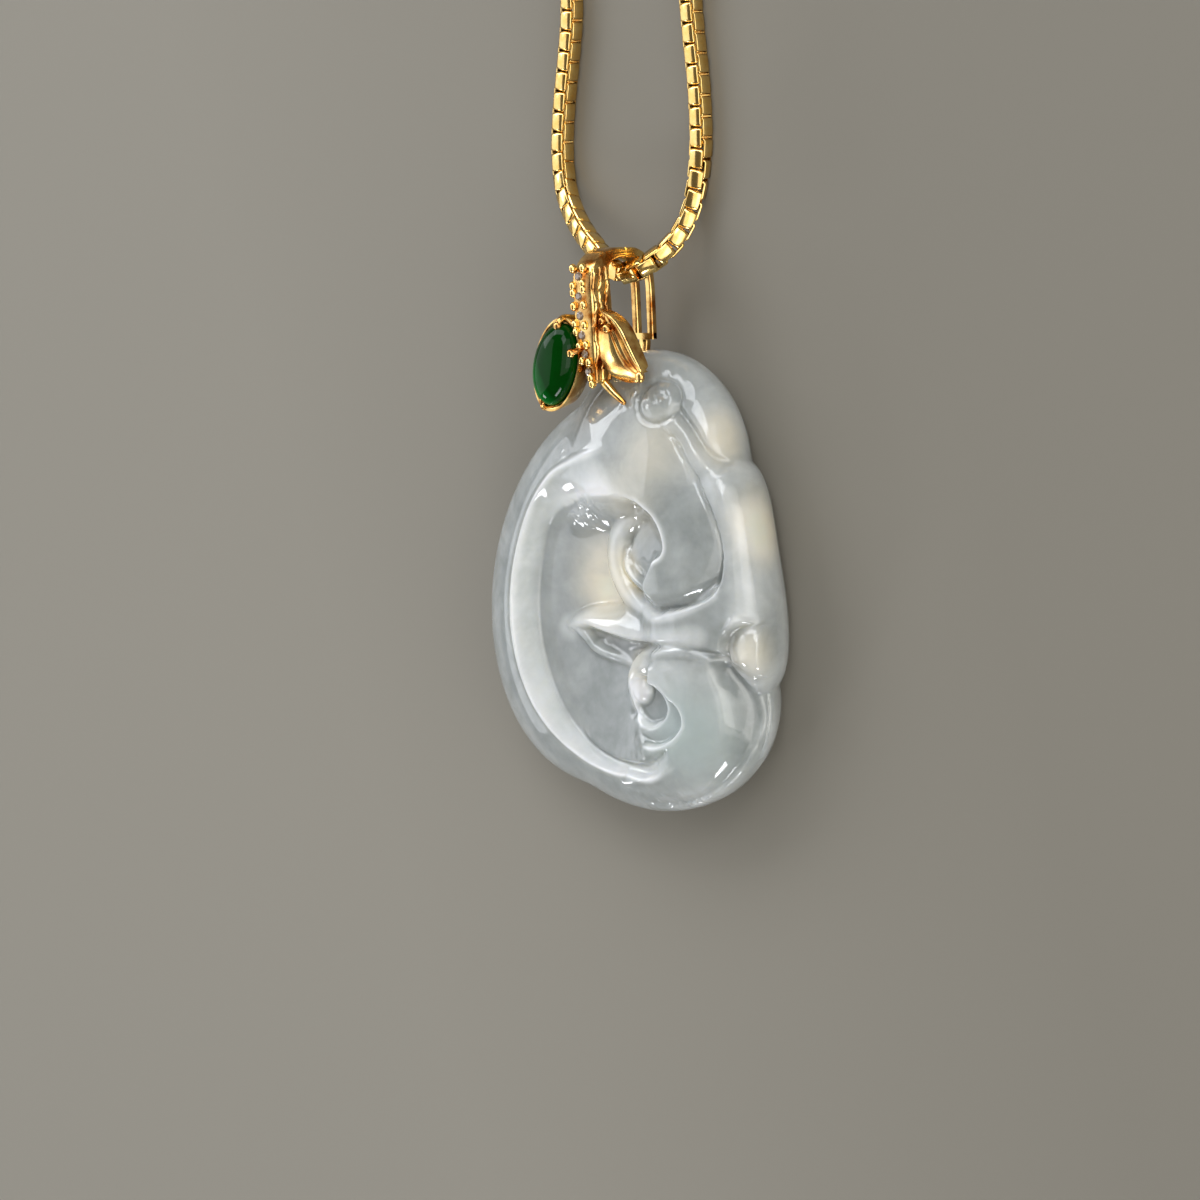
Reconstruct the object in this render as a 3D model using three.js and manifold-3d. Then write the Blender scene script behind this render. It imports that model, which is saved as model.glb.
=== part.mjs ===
// Ruyi pendant carved from one piece of ice jade, with its gold bail, on a gold box chain.
// Millimetres. The pendant lies on its flat back on z = 0, front up, bail toward +Y.
// The origin is on the back face, on the line through the middle of the bail (x = 0).
import * as THREE from 'three';
import { mergeVertices } from 'three/addons/utils/BufferGeometryUtils.js';
import Module from 'manifold-3d';

const wasm = await Module();
wasm.setup();

// Jade body: five ellipses [cx, cy, a, b, turn] whose outer hull is the outline.
const CENTRE = [-0.6, 0];
const LOBES = [
  [-1.7, 0.1, 10.45, 13.55, -0.44],
  [2.06, 9.05, 6.51, 6.48, 0.08],
  [7.1, -2.11, 3.0, 10.68, -0.16],
  [1.2, -7.4, 9.25, 6.95, 0.04],
  [7.7, 3.09, 2.84, 9.46, 0.26],
];
const MISSED = 4; // how fast a lobe that a ray passes by loses its part in the outline
const LOBE_BLEND = 0.25;
const EDGE_Z = 2.8; // height of the widest line round the body
const DOME_H = 4.3; // rise of the front above it
const BACK_ROUND = 0.2; // share of the radius that the rounded back edge takes
const CELLS = 46; // cells across the front

// Carved lines, as control points in plan.
const BOWL = [[-0.9, 9.1], [-2.7, 8.5], [-4.7, 7.5], [-6.4, 5.4], [-7.5, 2.8], [-8.15, 0.2],
  [-8.25, -2.6], [-7.7, -5.4], [-6.4, -8.0], [-4.2, -10.15], [-1.8, -11.3], [0.8, -11.8],
  [2.6, -11.9], [3.6, -11.1], [4.3, -10.1], [5.4, -8.9], [6.05, -7.9], [5.8, -6.8],
  [5.0, -5.9], [4.0, -5.5], [2.8, -5.2], [2.3, -4.4], [2.6, -3.7], [4.6, -3.25],
  [5.6, -2.2], [6.2, -1.0], [4.6, -0.6], [3.2, -0.2], [3.6, 0.9], [4.7, 1.5], [5.0, 2.4],
  [5.55, 3.1], [5.5, 3.8], [5.05, 4.6], [4.4, 5.4], [3.6, 6.1], [2.5, 6.75], [1.0, 7.3],
  [0.0, 8.1]];
const LIP = [[2.6, 5.6], [1.2, 5.2], [0.35, 4.2], [0.05, 3.0], [0.25, 1.6], [1.0, 0.3],
  [2.2, -0.6], [3.8, -1.0], [5.6, -0.95], [7.4, -0.5], [8.7, 0.3]];
const CURL = [[1.25, 3.1], [1.35, 2.1], [1.9, 1.25], [2.9, 0.75], [4.0, 0.6], [5.0, 0.6]];
const TONGUE = [[-5.2, -1.9], [-3.6, -2.4], [-1.4, -2.9], [1.0, -3.15], [3.6, -3.05],
  [6.4, -2.9]];
const TONGUE_EDGE = [[-4.9, -2.2], [-3.8, -3.2], [-2.7, -4.0], [-1.5, -4.5], [-0.3, -4.8]];
const NECK_GROOVE = [[1.6, -3.85], [3.4, -3.45], [5.6, -3.3], [7.6, -3.6], [9.0, -3.8]];
const LONG_GROOVE = [[5.06, 10.77], [6.1, 9.8], [7.0, 8.3], [7.75, 6.9], [8.45, 5.5],
  [8.95, 4.0], [9.2, 2.3], [9.15, 0.9], [8.75, 0.0]];
const CHANNEL = [[8.9, -3.7], [9.3, -4.6], [9.8, -5.7], [10.1, -6.9], [10.05, -8.3],
  [9.6, -9.7], [8.7, -11.0], [7.4, -12.2]];
const LOW_EYE = [[1.15, -5.6], [1.3, -6.8], [1.9, -7.7], [2.8, -8.3], [4.3, -9.2],
  [5.8, -8.5], [6.0, -7.5], [5.4, -6.3], [4.2, -5.4], [2.4, -4.2], [1.5, -4.6]];
const LEAF_CREASE = [[5.9, 11.7], [6.8, 10.6], [7.45, 9.65], [8.05, 8.8], [8.7, 8.3]];
const HANDLE = [[7.2, 9.0], [8.6, 7.2], [9.6, 5.0], [10.15, 2.6], [10.4, 0.2], [10.3, -1.4]];
const BEAD = [4.35, 12.35, 1.25];
const KNOB = [10.35, -3.3, 1.75];

// Gold bail, seen from its side: [y, z, thickness] along the strap's middle line.
const STRAP = [[13.6, 6.6, 1.0], [14.6, 6.42, 1.5], [16.5, 6.33, 1.85], [18.5, 6.3, 1.92],
  [20.3, 6.34, 1.8], [21.4, 5.75, 1.05], [21.8, 4.6, 0.7], [21.7, 2.9, 0.65],
  [21.1, 1.9, 0.6], [19.9, 1.55, 0.5], [18.0, 1.5, 0.5], [16.2, 1.52, 0.5], [15.0, 2.0, 0.5],
  [13.4, 2.1, 0.5]];
const STRAP_W = 1.76;
const STRAP_LEFT = [[-0.9, 17.7], [-0.7, 16.6], [-0.42, 15.6], [-0.12, 14.5], [0.3, 13.5]];
const SLOT = { w: 0.76, y0: 16.5, y1: 20.9, z1: 2.4 }; // between the two rails behind
const PIN = [0, 14.3, 0.45, 0.65]; // x, y, pin radius, hole radius
const STONE = { x: -2.4, y: 14.85, turn: -20, a: 1.68, b: 2.77, z0: 6.75, girdle: 7.3, top: 8.5 };
const CUP_GROW = 1.14; // the cup's rim as a share of the stone's oval
const CLAWS = [[100, 0.24], [30, 0.24], [-98, 0.22]]; // place round the oval, radius
const DIAMONDS = [[-0.27, 20.45, 0.37], [-0.27, 19.2, 0.37], [-0.25, 17.95, 0.37],
  [-0.16, 16.7, 0.36], [0, 15.5, 0.34], [0.22, 14.4, 0.3]]; // x, y, radius
const SEAT_GAP = 0.04; // between a diamond's girdle and the gold
const STRAP_FACE = 7.26;
const NOTCH_HALF = 2.6; // half the width of the hollow in the jade's back for the foot
const LEAF_LEFT = [[1.05, 18.0], [0.8, 17.0], [0.8, 15.8], [1.25, 14.8], [2.0, 14.1],
  [3.1, 13.72], [3.85, 13.68]];
const LEAF_RIGHT = [[1.3, 18.3], [2.1, 17.85], [2.75, 17.15], [3.25, 16.3], [3.8, 15.4],
  [4.3, 14.75], [4.45, 14.35]];
const LEAF = { top: 6.85, hollow: 0.75, rim: 0.3, wall: 0.35, deep: 0.8 };

// Box chain: a hanging part from the bail over the ground, then a flat coil of the rest.
const CHAIN_D = 1.25;
const CHAIN_SIDES = 8;
const CHAIN_STEPS = 16;
const CHAIN_RIGHT = [[0.2, 20.45, 3.32], [1.3, 20.75, 3.1], [2.4, 21.5, 2.4], [3.2, 22.6, 1.55],
  [3.8, 24.0, 1.0], [4.3, 25.7, 0.72], [4.65, 27.6, 0.63], [4.8, 29.5, 0.63],
  [4.75, 32.5, 0.63], [4.5, 35.5, 0.63], [4.4, 38.2, 0.63], [4.9, 41.0, 0.68],
  [6.1, 44.0, 0.9]];
const CHAIN_LEFT = [[-0.2, 20.45, 3.32], [-1.3, 20.9, 3.25], [-2.6, 21.9, 2.85],
  [-4.1, 22.9, 2.3], [-5.6, 24.1, 1.6], [-6.7, 25.5, 1.05], [-7.25, 27.1, 0.72],
  [-7.3, 29.0, 0.63], [-6.95, 31.6, 0.63], [-6.45, 34.2, 0.63], [-6.0, 37.0, 0.63],
  [-6.0, 39.8, 0.63], [-6.8, 43.2, 0.63]];
const COIL = { x: -0.8, y: 52.5, inner: 3.1, outer: 9.5, h: 2.58 };
const CLASP = { r: 2.1, wire: 0.55, z: 3.35 };

const smooth = (a, b, v) => {
  const t = Math.min(1, Math.max(0, (v - a) / (b - a)));
  return t * t * (3 - 2 * t);
};
const mix = (a, b, t) => a + (b - a) * t;
const softMax = (a, b, k) => {
  const h = Math.max(k - Math.abs(a - b), 0) / k;
  return Math.max(a, b) + (h * h * k) / 4;
};

function line(points, closed = false, per = 6) {
  const curve = new THREE.CatmullRomCurve3(
    points.map(([x, y]) => new THREE.Vector3(x, y, 0)), closed, 'catmullrom', 0.5);
  const n = (closed ? points.length : points.length - 1) * per;
  const out = [];
  for (let i = 0; i <= n; i++) {
    const p = curve.getPoint(i / n);
    out.push([p.x, p.y]);
  }
  return out;
}

// Distance to a line, place along it from 0 to 1, and side (+1 left of its direction).
function near(x, y, q) {
  let best = 1e9, along = 0, side = 1;
  for (let i = 0; i < q.length - 1; i++) {
    const [ax, ay] = q[i], ex = q[i + 1][0] - ax, ey = q[i + 1][1] - ay;
    const len = ex * ex + ey * ey;
    if (len < 1e-12) continue;
    const k = Math.min(1, Math.max(0, ((x - ax) * ex + (y - ay) * ey) / len));
    const dx = x - ax - k * ex, dy = y - ay - k * ey, d = dx * dx + dy * dy;
    if (d < best - 1e-9) {
      best = d;
      along = (i + k) / (q.length - 1);
      side = ex * (y - ay) - ey * (x - ax) >= 0 ? 1 : -1;
    }
  }
  return { d: Math.sqrt(best), t: along, side };
}

function inside(x, y, q) {
  let c = false;
  for (let i = 0; i < q.length - 1; i++) {
    const [ax, ay] = q[i], [bx, by] = q[i + 1];
    if ((ay > y) !== (by > y) && x < ((bx - ax) * (y - ay)) / (by - ay) + ax) c = !c;
  }
  return c;
}

const bowl = line(BOWL, true), lip = line(LIP), curl = line(CURL), tongue = line(TONGUE);
const tongueEdge = line(TONGUE_EDGE), neck = line(NECK_GROOVE), groove = line(LONG_GROOVE);
const channel = line(CHANNEL), lowEye = line(LOW_EYE, true), leafCrease = line(LEAF_CREASE);
const handle = line(HANDLE);

// Distance from the centre to the outline in direction phi.
function outline(phi) {
  const radii = LOBES.map(([cx, cy, a, b, turn]) => {
    const ox = CENTRE[0] - cx, oy = CENTRE[1] - cy, c = Math.cos(turn), s = Math.sin(turn);
    const ux = (c * ox + s * oy) / a, uy = (-s * ox + c * oy) / b;
    const dx = (c * Math.cos(phi) + s * Math.sin(phi)) / a;
    const dy = (-s * Math.cos(phi) + c * Math.sin(phi)) / b;
    const A = dx * dx + dy * dy, B = ux * dx + uy * dy, C = ux * ux + uy * uy - 1;
    const root = B * B - A * C;
    return (-B + (root > 0 ? 1 : -MISSED) * Math.sqrt(Math.abs(root))) / A;
  });
  const top = Math.max(...radii);
  const sum = radii.reduce((t, r) => t + Math.exp((r - top) / LOBE_BLEND), 0);
  return top + LOBE_BLEND * Math.log(sum);
}

// Height of the carved front at (x, y), where s is the share of the way to the outline.
function front(x, y, s) {
  const dome = EDGE_Z + DOME_H * Math.sqrt(Math.max(1 - s ** 2.6, 0));
  let z = dome;
  const g = near(x, y, groove);
  z -= 0.55 * (g.side > 0 ? Math.exp(-((g.d / 0.9) ** 2)) : 0.9 * Math.exp(-((g.d / 0.22) ** 2)))
    * smooth(-0.5, 0.5, 11.2 - y);
  const b = near(x, y, bowl), inBowl = inside(x, y, bowl), l = near(x, y, lip);
  let floor = 3.75 + 0.018 * ((x + 3.5) ** 2 + 0.25 * (y + 0.5) ** 2);
  if (y > -1.5) floor = mix(floor, 4.7, smooth(-0.2, 0.5, l.side * l.d));
  const soft = Math.exp(-(((x - 0.2) / 2.2) ** 2 + ((y - 8.3) / 1.2) ** 2));
  const tau = Math.min(1, b.d / 1.6);
  const wall = mix(1 - (1 - tau) ** 2.2, smooth(0, 2.4, b.d), soft);
  if (inBowl) z = Math.min(z, mix(dome, floor, wall));
  const t1 = near(x, y, tongue), t2 = near(x, y, tongueEdge);
  if (inBowl) {
    const crest = mix(4.35, 6.3, t1.t ** 0.8);
    const fall = t1.side > 0 ? mix(1.5, 0.2, Math.min(1, t1.t * 2)) : 3;
    z = softMax(z, Math.min(crest - fall * t1.d ** 2, dome - 0.2), 0.15);
    z = softMax(z, 4.55 + 0.2 * t2.t - 4 * t2.d ** 2, 0.12);
  }
  z = softMax(z, Math.min(mix(5.25, 6, smooth(0.45, 1, l.t)) - 1.15 * l.d ** 2, dome - 0.1), 0.12);
  const c = near(x, y, curl);
  if (c.d < 1.2) z = softMax(z, mix(5, 6.5, c.t) - 3 * c.d ** 2, 0.12);
  if (inside(x, y, lowEye)) {
    z = Math.min(z, dome);
    z = Math.max(z, mix(4.6, 5.7, smooth(2.2, 5.6, x)));
  }
  z -= 0.9 * Math.exp(-((near(x, y, neck).d / 0.3) ** 2));
  const h = near(x, y, channel);
  z -= 1.3 * (1 - smooth(0.55, 1, h.t)) * Math.exp(-((h.d / 0.5) ** 2));
  const dk = Math.hypot(x - KNOB[0], 0.92 * (y - KNOB[1]));
  if (dk < KNOB[2]) {
    z = Math.max(Math.min(z, 3.4), 3.3 + 1.75 * Math.sqrt(1 - (dk / KNOB[2]) ** 2));
  }
  const db = Math.hypot(0.9 * (x - BEAD[0]), y - BEAD[1]);
  z -= 0.55 * Math.exp(-(((db - BEAD[2]) / 0.2) ** 2));
  z -= 0.7 * Math.exp(-((near(x, y, leafCrease).d / 0.35) ** 2));
  z += 0.35 * Math.exp(-((near(x, y, handle).d / 0.7) ** 2));
  return Math.max(z, mix(EDGE_Z, 2.4, smooth(1, 0.8, s)));
}

const back = (s) => {
  const q = Math.max(0, (s - 1 + BACK_ROUND) / BACK_ROUND);
  return EDGE_Z * (1 - Math.sqrt(Math.max(0, 1 - q * q)));
};

function solid(geometry) {
  const g = geometry.clone();
  for (const name of Object.keys(g.attributes)) {
    if (name !== 'position') g.deleteAttribute(name);
  }
  const m = mergeVertices(g, 1e-4);
  return new wasm.Manifold(new wasm.Mesh({
    numProp: 3,
    vertProperties: new Float32Array(m.attributes.position.array),
    triVerts: new Uint32Array(m.index.array),
  }));
}

function geometry(body) {
  const mesh = body.getMesh();
  const g = new THREE.BufferGeometry();
  g.setAttribute('position', new THREE.BufferAttribute(new Float32Array(mesh.vertProperties), 3));
  g.setIndex(new THREE.BufferAttribute(new Uint32Array(mesh.triVerts), 1));
  return g;
}

function indexed(vertices, faces) {
  const g = new THREE.BufferGeometry();
  g.setAttribute('position', new THREE.Float32BufferAttribute(vertices.flat(), 3));
  g.setIndex(faces.flat());
  return g;
}

// The body: a square grid bent onto the outline in front, two rounded rows and a flat behind.
function jadeBlank() {
  const v = [], f = [], n = CELLS, at = (i, j) => j * (n + 1) + i;
  const place = (u, w) => {
    const X = u * Math.sqrt(1 - (w * w) / 2), Y = w * Math.sqrt(1 - (u * u) / 2);
    const r = Math.min(1, Math.hypot(X, Y)), phi = Math.atan2(Y, X);
    return [phi, 0.6 * r + 0.4 * Math.sin((Math.PI / 2) * r)];
  };
  const point = (phi, s, z) => {
    const R = s * outline(phi);
    return [CENTRE[0] + R * Math.cos(phi), CENTRE[1] + R * Math.sin(phi), z];
  };
  for (let j = 0; j <= n; j++) {
    for (let i = 0; i <= n; i++) {
      const [phi, s0] = place((2 * i) / n - 1, (2 * j) / n - 1);
      const rim = i === 0 || j === 0 || i === n || j === n, s = rim ? 1 : s0;
      const p = point(phi, s, 0);
      p[2] = rim ? EDGE_Z : front(p[0], p[1], s);
      v.push(p);
    }
  }
  for (let j = 0; j < n; j++) {
    for (let i = 0; i < n; i++) {
      const [a, b, c, d] = [at(i, j), at(i + 1, j), at(i + 1, j + 1), at(i, j + 1)];
      const one = Math.abs(v[a][2] - v[c][2]) <= Math.abs(v[b][2] - v[d][2]);
      f.push(...(one ? [[a, b, c], [a, c, d]] : [[a, b, d], [b, c, d]]));
    }
  }
  let ring = [];
  for (let i = 0; i < n; i++) ring.push(at(i, 0));
  for (let j = 0; j < n; j++) ring.push(at(n, j));
  for (let i = n; i > 0; i--) ring.push(at(i, n));
  for (let j = n; j > 0; j--) ring.push(at(0, j));
  const turns = ring.map((k) => Math.atan2(v[k][1] - CENTRE[1], v[k][0] - CENTRE[0]));
  for (const s of [1 - 0.2 * BACK_ROUND, 1 - 0.6 * BACK_ROUND, 1 - BACK_ROUND]) {
    const next = turns.map((phi) => v.push(point(phi, s, back(s))) - 1);
    ring.forEach((a, k) => {
      const m = (k + 1) % ring.length;
      f.push([a, next[k], next[m]], [a, next[m], ring[m]]);
    });
    ring = next;
  }
  const hub = v.push([CENTRE[0], CENTRE[1], 0]) - 1;
  ring.forEach((a, k) => f.push([a, hub, ring[(k + 1) % ring.length]]));
  return indexed(v, f);
}

function extrudeX(profile, x0, x1) {
  const shape = new THREE.Shape(profile.map(([y, z]) => new THREE.Vector2(y, z)));
  const g = new THREE.ExtrudeGeometry(shape, { depth: x1 - x0, bevelEnabled: false });
  g.applyMatrix4(new THREE.Matrix4().makeBasis(
    new THREE.Vector3(0, 1, 0), new THREE.Vector3(0, 0, 1), new THREE.Vector3(1, 0, 0)));
  return g.translate(x0, 0, 0);
}

function rod(r0, r1, from, to, sides = 12) {
  const a = new THREE.Vector3(...from), b = new THREE.Vector3(...to);
  const g = new THREE.CylinderGeometry(r1, r0, a.distanceTo(b), sides);
  g.translate(0, a.distanceTo(b) / 2, 0);
  g.applyQuaternion(new THREE.Quaternion().setFromUnitVectors(
    new THREE.Vector3(0, 1, 0), b.clone().sub(a).normalize()));
  return g.translate(...from);
}

// The strap: its middle line offset by half the thickness to both sides.
function strapProfile() {
  const mid = new THREE.CatmullRomCurve3(
    STRAP.map(([y, z, t]) => new THREE.Vector3(y, z, t)), false, 'centripetal');
  const n = 30, out = [], inn = [];
  for (let i = 0; i <= n; i++) {
    const p = mid.getPoint(i / n), q = mid.getTangent(i / n), len = Math.hypot(q.x, q.y);
    const ny = -q.y / len, nz = q.x / len;
    out.push([p.x + (ny * p.z) / 2, p.y + (nz * p.z) / 2]);
    inn.push([p.x - (ny * p.z) / 2, p.y - (nz * p.z) / 2]);
  }
  return [...out, ...inn.reverse()];
}

const stonePoint = (deg, k, z) => {
  const w = (STONE.turn * Math.PI) / 180, t = (deg * Math.PI) / 180;
  const lx = k * STONE.a * Math.cos(t), ly = k * STONE.b * Math.sin(t);
  return [STONE.x + lx * Math.cos(w) - ly * Math.sin(w),
    STONE.y + lx * Math.sin(w) + ly * Math.cos(w), z];
};

// A turned profile [grow, z], drawn out to the stone's oval.
function oval(profile, sides) {
  const g = new THREE.LatheGeometry(
    profile.map(([k, z]) => new THREE.Vector2(k, z)), sides);
  const p = g.attributes.position;
  for (let i = 0; i < p.count; i++) {
    const k = Math.hypot(p.getX(i), p.getZ(i));
    const deg = (Math.atan2(-p.getZ(i), p.getX(i)) * 180) / Math.PI;
    p.setXYZ(i, ...stonePoint(deg, k < 1e-6 ? 0 : k, p.getY(i)));
  }
  return g;
}

// The leaf: a scoop between its left edge against the strap and its broad right rim.
function leaf() {
  const [left, right] = [LEAF_LEFT, LEAF_RIGHT].map((edge) => new THREE.CatmullRomCurve3(
    edge.map(([x, y]) => new THREE.Vector3(x, y, 0))));
  const nu = 14, nv = 8, v = [], f = [], at = (i, j, k) => (k * (nu + 1) + i) * (nv + 1) + j;
  for (let k = 0; k < 2; k++) {
    for (let i = 0; i <= nu; i++) {
      const u = i / nu, lens = Math.sin(Math.PI * (0.08 + 0.86 * u)) ** 0.7;
      const tip = Math.max(0, (u - 0.86) / 0.14);
      const a = left.getPoint(u), b = right.getPoint(u);
      const low = LEAF.top - LEAF.wall - LEAF.deep * Math.sin(Math.PI * (0.15 + 0.8 * u));
      for (let j = 0; j <= nv; j++) {
        const t = j / nv, rim = Math.exp(-(((t - 0.8) / 0.2) ** 2));
        const top = LEAF.top - LEAF.hollow * lens * Math.sin(Math.PI * t) ** 0.8
          + LEAF.rim * rim - 0.3 * tip ** 2;
        v.push([mix(a.x, b.x, t), mix(a.y, b.y, t), k ? Math.min(low, top - 0.15) : top]);
      }
    }
  }
  const quad = (a, b, c, d) => f.push([a, b, c], [a, c, d]);
  for (let i = 0; i < nu; i++) {
    for (let j = 0; j < nv; j++) {
      quad(at(i, j, 0), at(i + 1, j, 0), at(i + 1, j + 1, 0), at(i, j + 1, 0));
      quad(at(i, j, 1), at(i, j + 1, 1), at(i + 1, j + 1, 1), at(i + 1, j, 1));
    }
    quad(at(i, 0, 1), at(i + 1, 0, 1), at(i + 1, 0, 0), at(i, 0, 0));
    quad(at(i, nv, 0), at(i + 1, nv, 0), at(i + 1, nv, 1), at(i, nv, 1));
  }
  for (let j = 0; j < nv; j++) {
    quad(at(0, j, 0), at(0, j + 1, 0), at(0, j + 1, 1), at(0, j, 1));
    quad(at(nu, j, 1), at(nu, j + 1, 1), at(nu, j + 1, 0), at(nu, j, 0));
  }
  return indexed(v, f);
}

const turned = (profile, x, y, sides) => new THREE.LatheGeometry(
  profile.map(([a, b]) => new THREE.Vector2(a, b)), sides).rotateX(Math.PI / 2)
  .translate(x, y, 0);

function brilliant(x, y, r) {
  return turned([[0, STRAP_FACE - 0.75 * r], [r, STRAP_FACE], [0.58 * r, STRAP_FACE + 0.34 * r],
    [0, STRAP_FACE + 0.34 * r]], x, y, 10);
}

function goldBail() {
  let body = solid(extrudeX(strapProfile(), -STRAP_W / 2, STRAP_W / 2));
  const beside = new THREE.Shape([[-1.4, 17.7], [-1.4, 13], [0.3, 13], ...STRAP_LEFT.toReversed()]
    .map(([x, y]) => new THREE.Vector2(x, y)));
  body = body.subtract(solid(new THREE.ExtrudeGeometry(beside, { depth: 3, bevelEnabled: false })
    .translate(0, 0, 5)));
  const slot = new THREE.BoxGeometry(SLOT.w, SLOT.y1 - SLOT.y0, SLOT.z1);
  body = body.subtract(solid(slot.translate(0, (SLOT.y0 + SLOT.y1) / 2, SLOT.z1 / 2)));
  body = body.add(solid(rod(PIN[2], PIN[2], [PIN[0], PIN[1], 2.2], [PIN[0], PIN[1], 6.2])));
  body = body.add(solid(oval([[0, 5.92], [1.01, 5.92], [CUP_GROW, 7.42], [0, 7.42]], 28)));
  body = body.add(solid(rod(0.4, 0.4, [-1.6, 15.6, 6.3], [-0.3, 16.0, 6.3], 8)));
  for (const [deg, r] of CLAWS) {
    body = body.add(solid(rod(r, r, stonePoint(deg, 1.09, 6.2), stonePoint(deg, 1.1, 7.75), 8)));
  }
  body = body.add(solid(leaf()));
  body = body.add(solid(new THREE.SphereGeometry(0.34, 10, 6).translate(1.4, 17.1, 6.55)));
  body = body.add(solid(rod(0.32, 0.18, [0.4, 13.9, 6.2], [1.95, 12.35, 5.9], 8)));
  for (const [x, y, r] of DIAMONDS) {
    const cone = [[0, STRAP_FACE - 0.75 * r - 0.12], [r + SEAT_GAP, STRAP_FACE - 0.04],
      [r + SEAT_GAP, STRAP_FACE + 0.5], [0, STRAP_FACE + 0.5]];
    body = body.subtract(solid(turned(cone, x, y, 10)));
  }
  body = body.subtract(solid(oval([[0, 6.66], [1.035, 6.66], [1.035, 7.36], [0.94, 7.83],
    [0.7, 8.35], [0.35, 8.6], [0, 8.7]], 28)));
  return geometry(body);
}

function jade() {
  let body = solid(jadeBlank());
  const notch = [[10.3, -1], [17.5, -1], [17.5, 2.68], [12.7, 2.68], [10.3, 0]];
  body = body.subtract(solid(extrudeX(notch, -NOTCH_HALF, NOTCH_HALF)));
  body = body.subtract(solid(rod(PIN[3], PIN[3], [PIN[0], PIN[1], 1], [PIN[0], PIN[1], 7], 16)));
  return geometry(body);
}

function cabochon() {
  const rows = 6, profile = [[0, STONE.z0], [0.9, STONE.z0], [0.985, STONE.girdle - 0.2]];
  for (let i = 0; i <= rows; i++) {
    const t = (i / rows) * (Math.PI / 2);
    profile.push([i === rows ? 0 : 0.985 * Math.cos(t) ** 0.8,
      STONE.girdle + (STONE.top - STONE.girdle) * Math.sin(t)]);
  }
  return geometry(solid(oval(profile, 24)));
}

function chainTube(points) {
  const corners = [];
  for (let i = 0; i < CHAIN_SIDES; i++) {
    const a = ((i + 0.5) / CHAIN_SIDES) * 2 * Math.PI;
    corners.push(new THREE.Vector2(Math.cos(a), Math.sin(a)).multiplyScalar(CHAIN_D / 2));
  }
  const extrudePath = new THREE.CatmullRomCurve3(points.map((p) => new THREE.Vector3(...p)));
  return new THREE.ExtrudeGeometry(new THREE.Shape(corners),
    { steps: CHAIN_STEPS, bevelEnabled: false, extrudePath });
}

const stuff = (color, roughness, metalness = 0) => new THREE.MeshStandardMaterial(
  { color, roughness, metalness });
const gold = stuff(0xe9b64c, 0.18, 1), jadeStuff = stuff(0xb4bcb8, 0.08);
const greenJade = stuff(0x0a5a26, 0.08), diamond = stuff(0xe6e8ec, 0.03);

const pendant = new THREE.Group();
function piece(name, g, material, parent = pendant) {
  const mesh = new THREE.Mesh(g, material);
  mesh.name = name;
  parent.add(mesh);
  return mesh;
}

piece('jade_carving', jade(), jadeStuff);
piece('gold_bail', goldBail(), gold);
piece('green_cabochon', cabochon(), greenJade);
DIAMONDS.forEach((at, i) => piece(`diamond_${i + 1}`, brilliant(...at), diamond));

const chain = new THREE.Group();
pendant.add(chain);
piece('chain_right', chainTube(CHAIN_RIGHT), gold, chain);
piece('chain_left', chainTube(CHAIN_LEFT), gold, chain);
const ring = new THREE.LatheGeometry([[COIL.inner, 0.03], [COIL.outer, 0.03],
  [COIL.outer, COIL.h], [COIL.inner, COIL.h], [COIL.inner, 0.03]]
  .map(([a, b]) => new THREE.Vector2(a, b)), 32).rotateX(Math.PI / 2);
piece('chain_coil', ring, gold, chain).position.set(COIL.x, COIL.y, 0);
piece('clasp', new THREE.TorusGeometry(CLASP.r, CLASP.wire, 8, 20), gold, chain)
  .position.set(COIL.x, COIL.y, CLASP.z);

export default pendant;
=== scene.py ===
import math

import bpy
import numpy as np
from mathutils import Matrix, Vector


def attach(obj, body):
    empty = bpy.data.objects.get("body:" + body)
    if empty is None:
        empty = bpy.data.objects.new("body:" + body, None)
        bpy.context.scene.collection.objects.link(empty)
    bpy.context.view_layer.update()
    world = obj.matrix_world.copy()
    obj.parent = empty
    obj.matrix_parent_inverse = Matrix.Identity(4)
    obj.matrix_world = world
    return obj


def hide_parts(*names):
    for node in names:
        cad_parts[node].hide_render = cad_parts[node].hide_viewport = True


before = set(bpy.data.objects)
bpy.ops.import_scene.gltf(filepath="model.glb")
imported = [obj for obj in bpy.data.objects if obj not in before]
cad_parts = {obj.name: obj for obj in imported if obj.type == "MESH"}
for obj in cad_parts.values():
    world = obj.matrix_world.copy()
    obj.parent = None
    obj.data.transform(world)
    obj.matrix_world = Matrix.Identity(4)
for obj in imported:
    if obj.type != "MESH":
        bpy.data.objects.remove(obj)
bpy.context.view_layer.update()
MM = 0.001

# The camera looks down on the pendant from its right, from 300 mm, and a little from above
# the bail, as the photograph does. Its lens shows 77 mm across at that distance.
VIEW_RIGHT = math.radians(43.0)
VIEW_ABOVE = math.radians(6.0)
VIEW_ROLL = math.radians(2.5)
VIEW_DISTANCE = 300.0
VIEW_WIDTH = 77.42
AIM_POINT = Vector((0.0, 0.0, 3.0))
AIM_OFFSET = Vector((2.58, 0.65))

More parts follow.
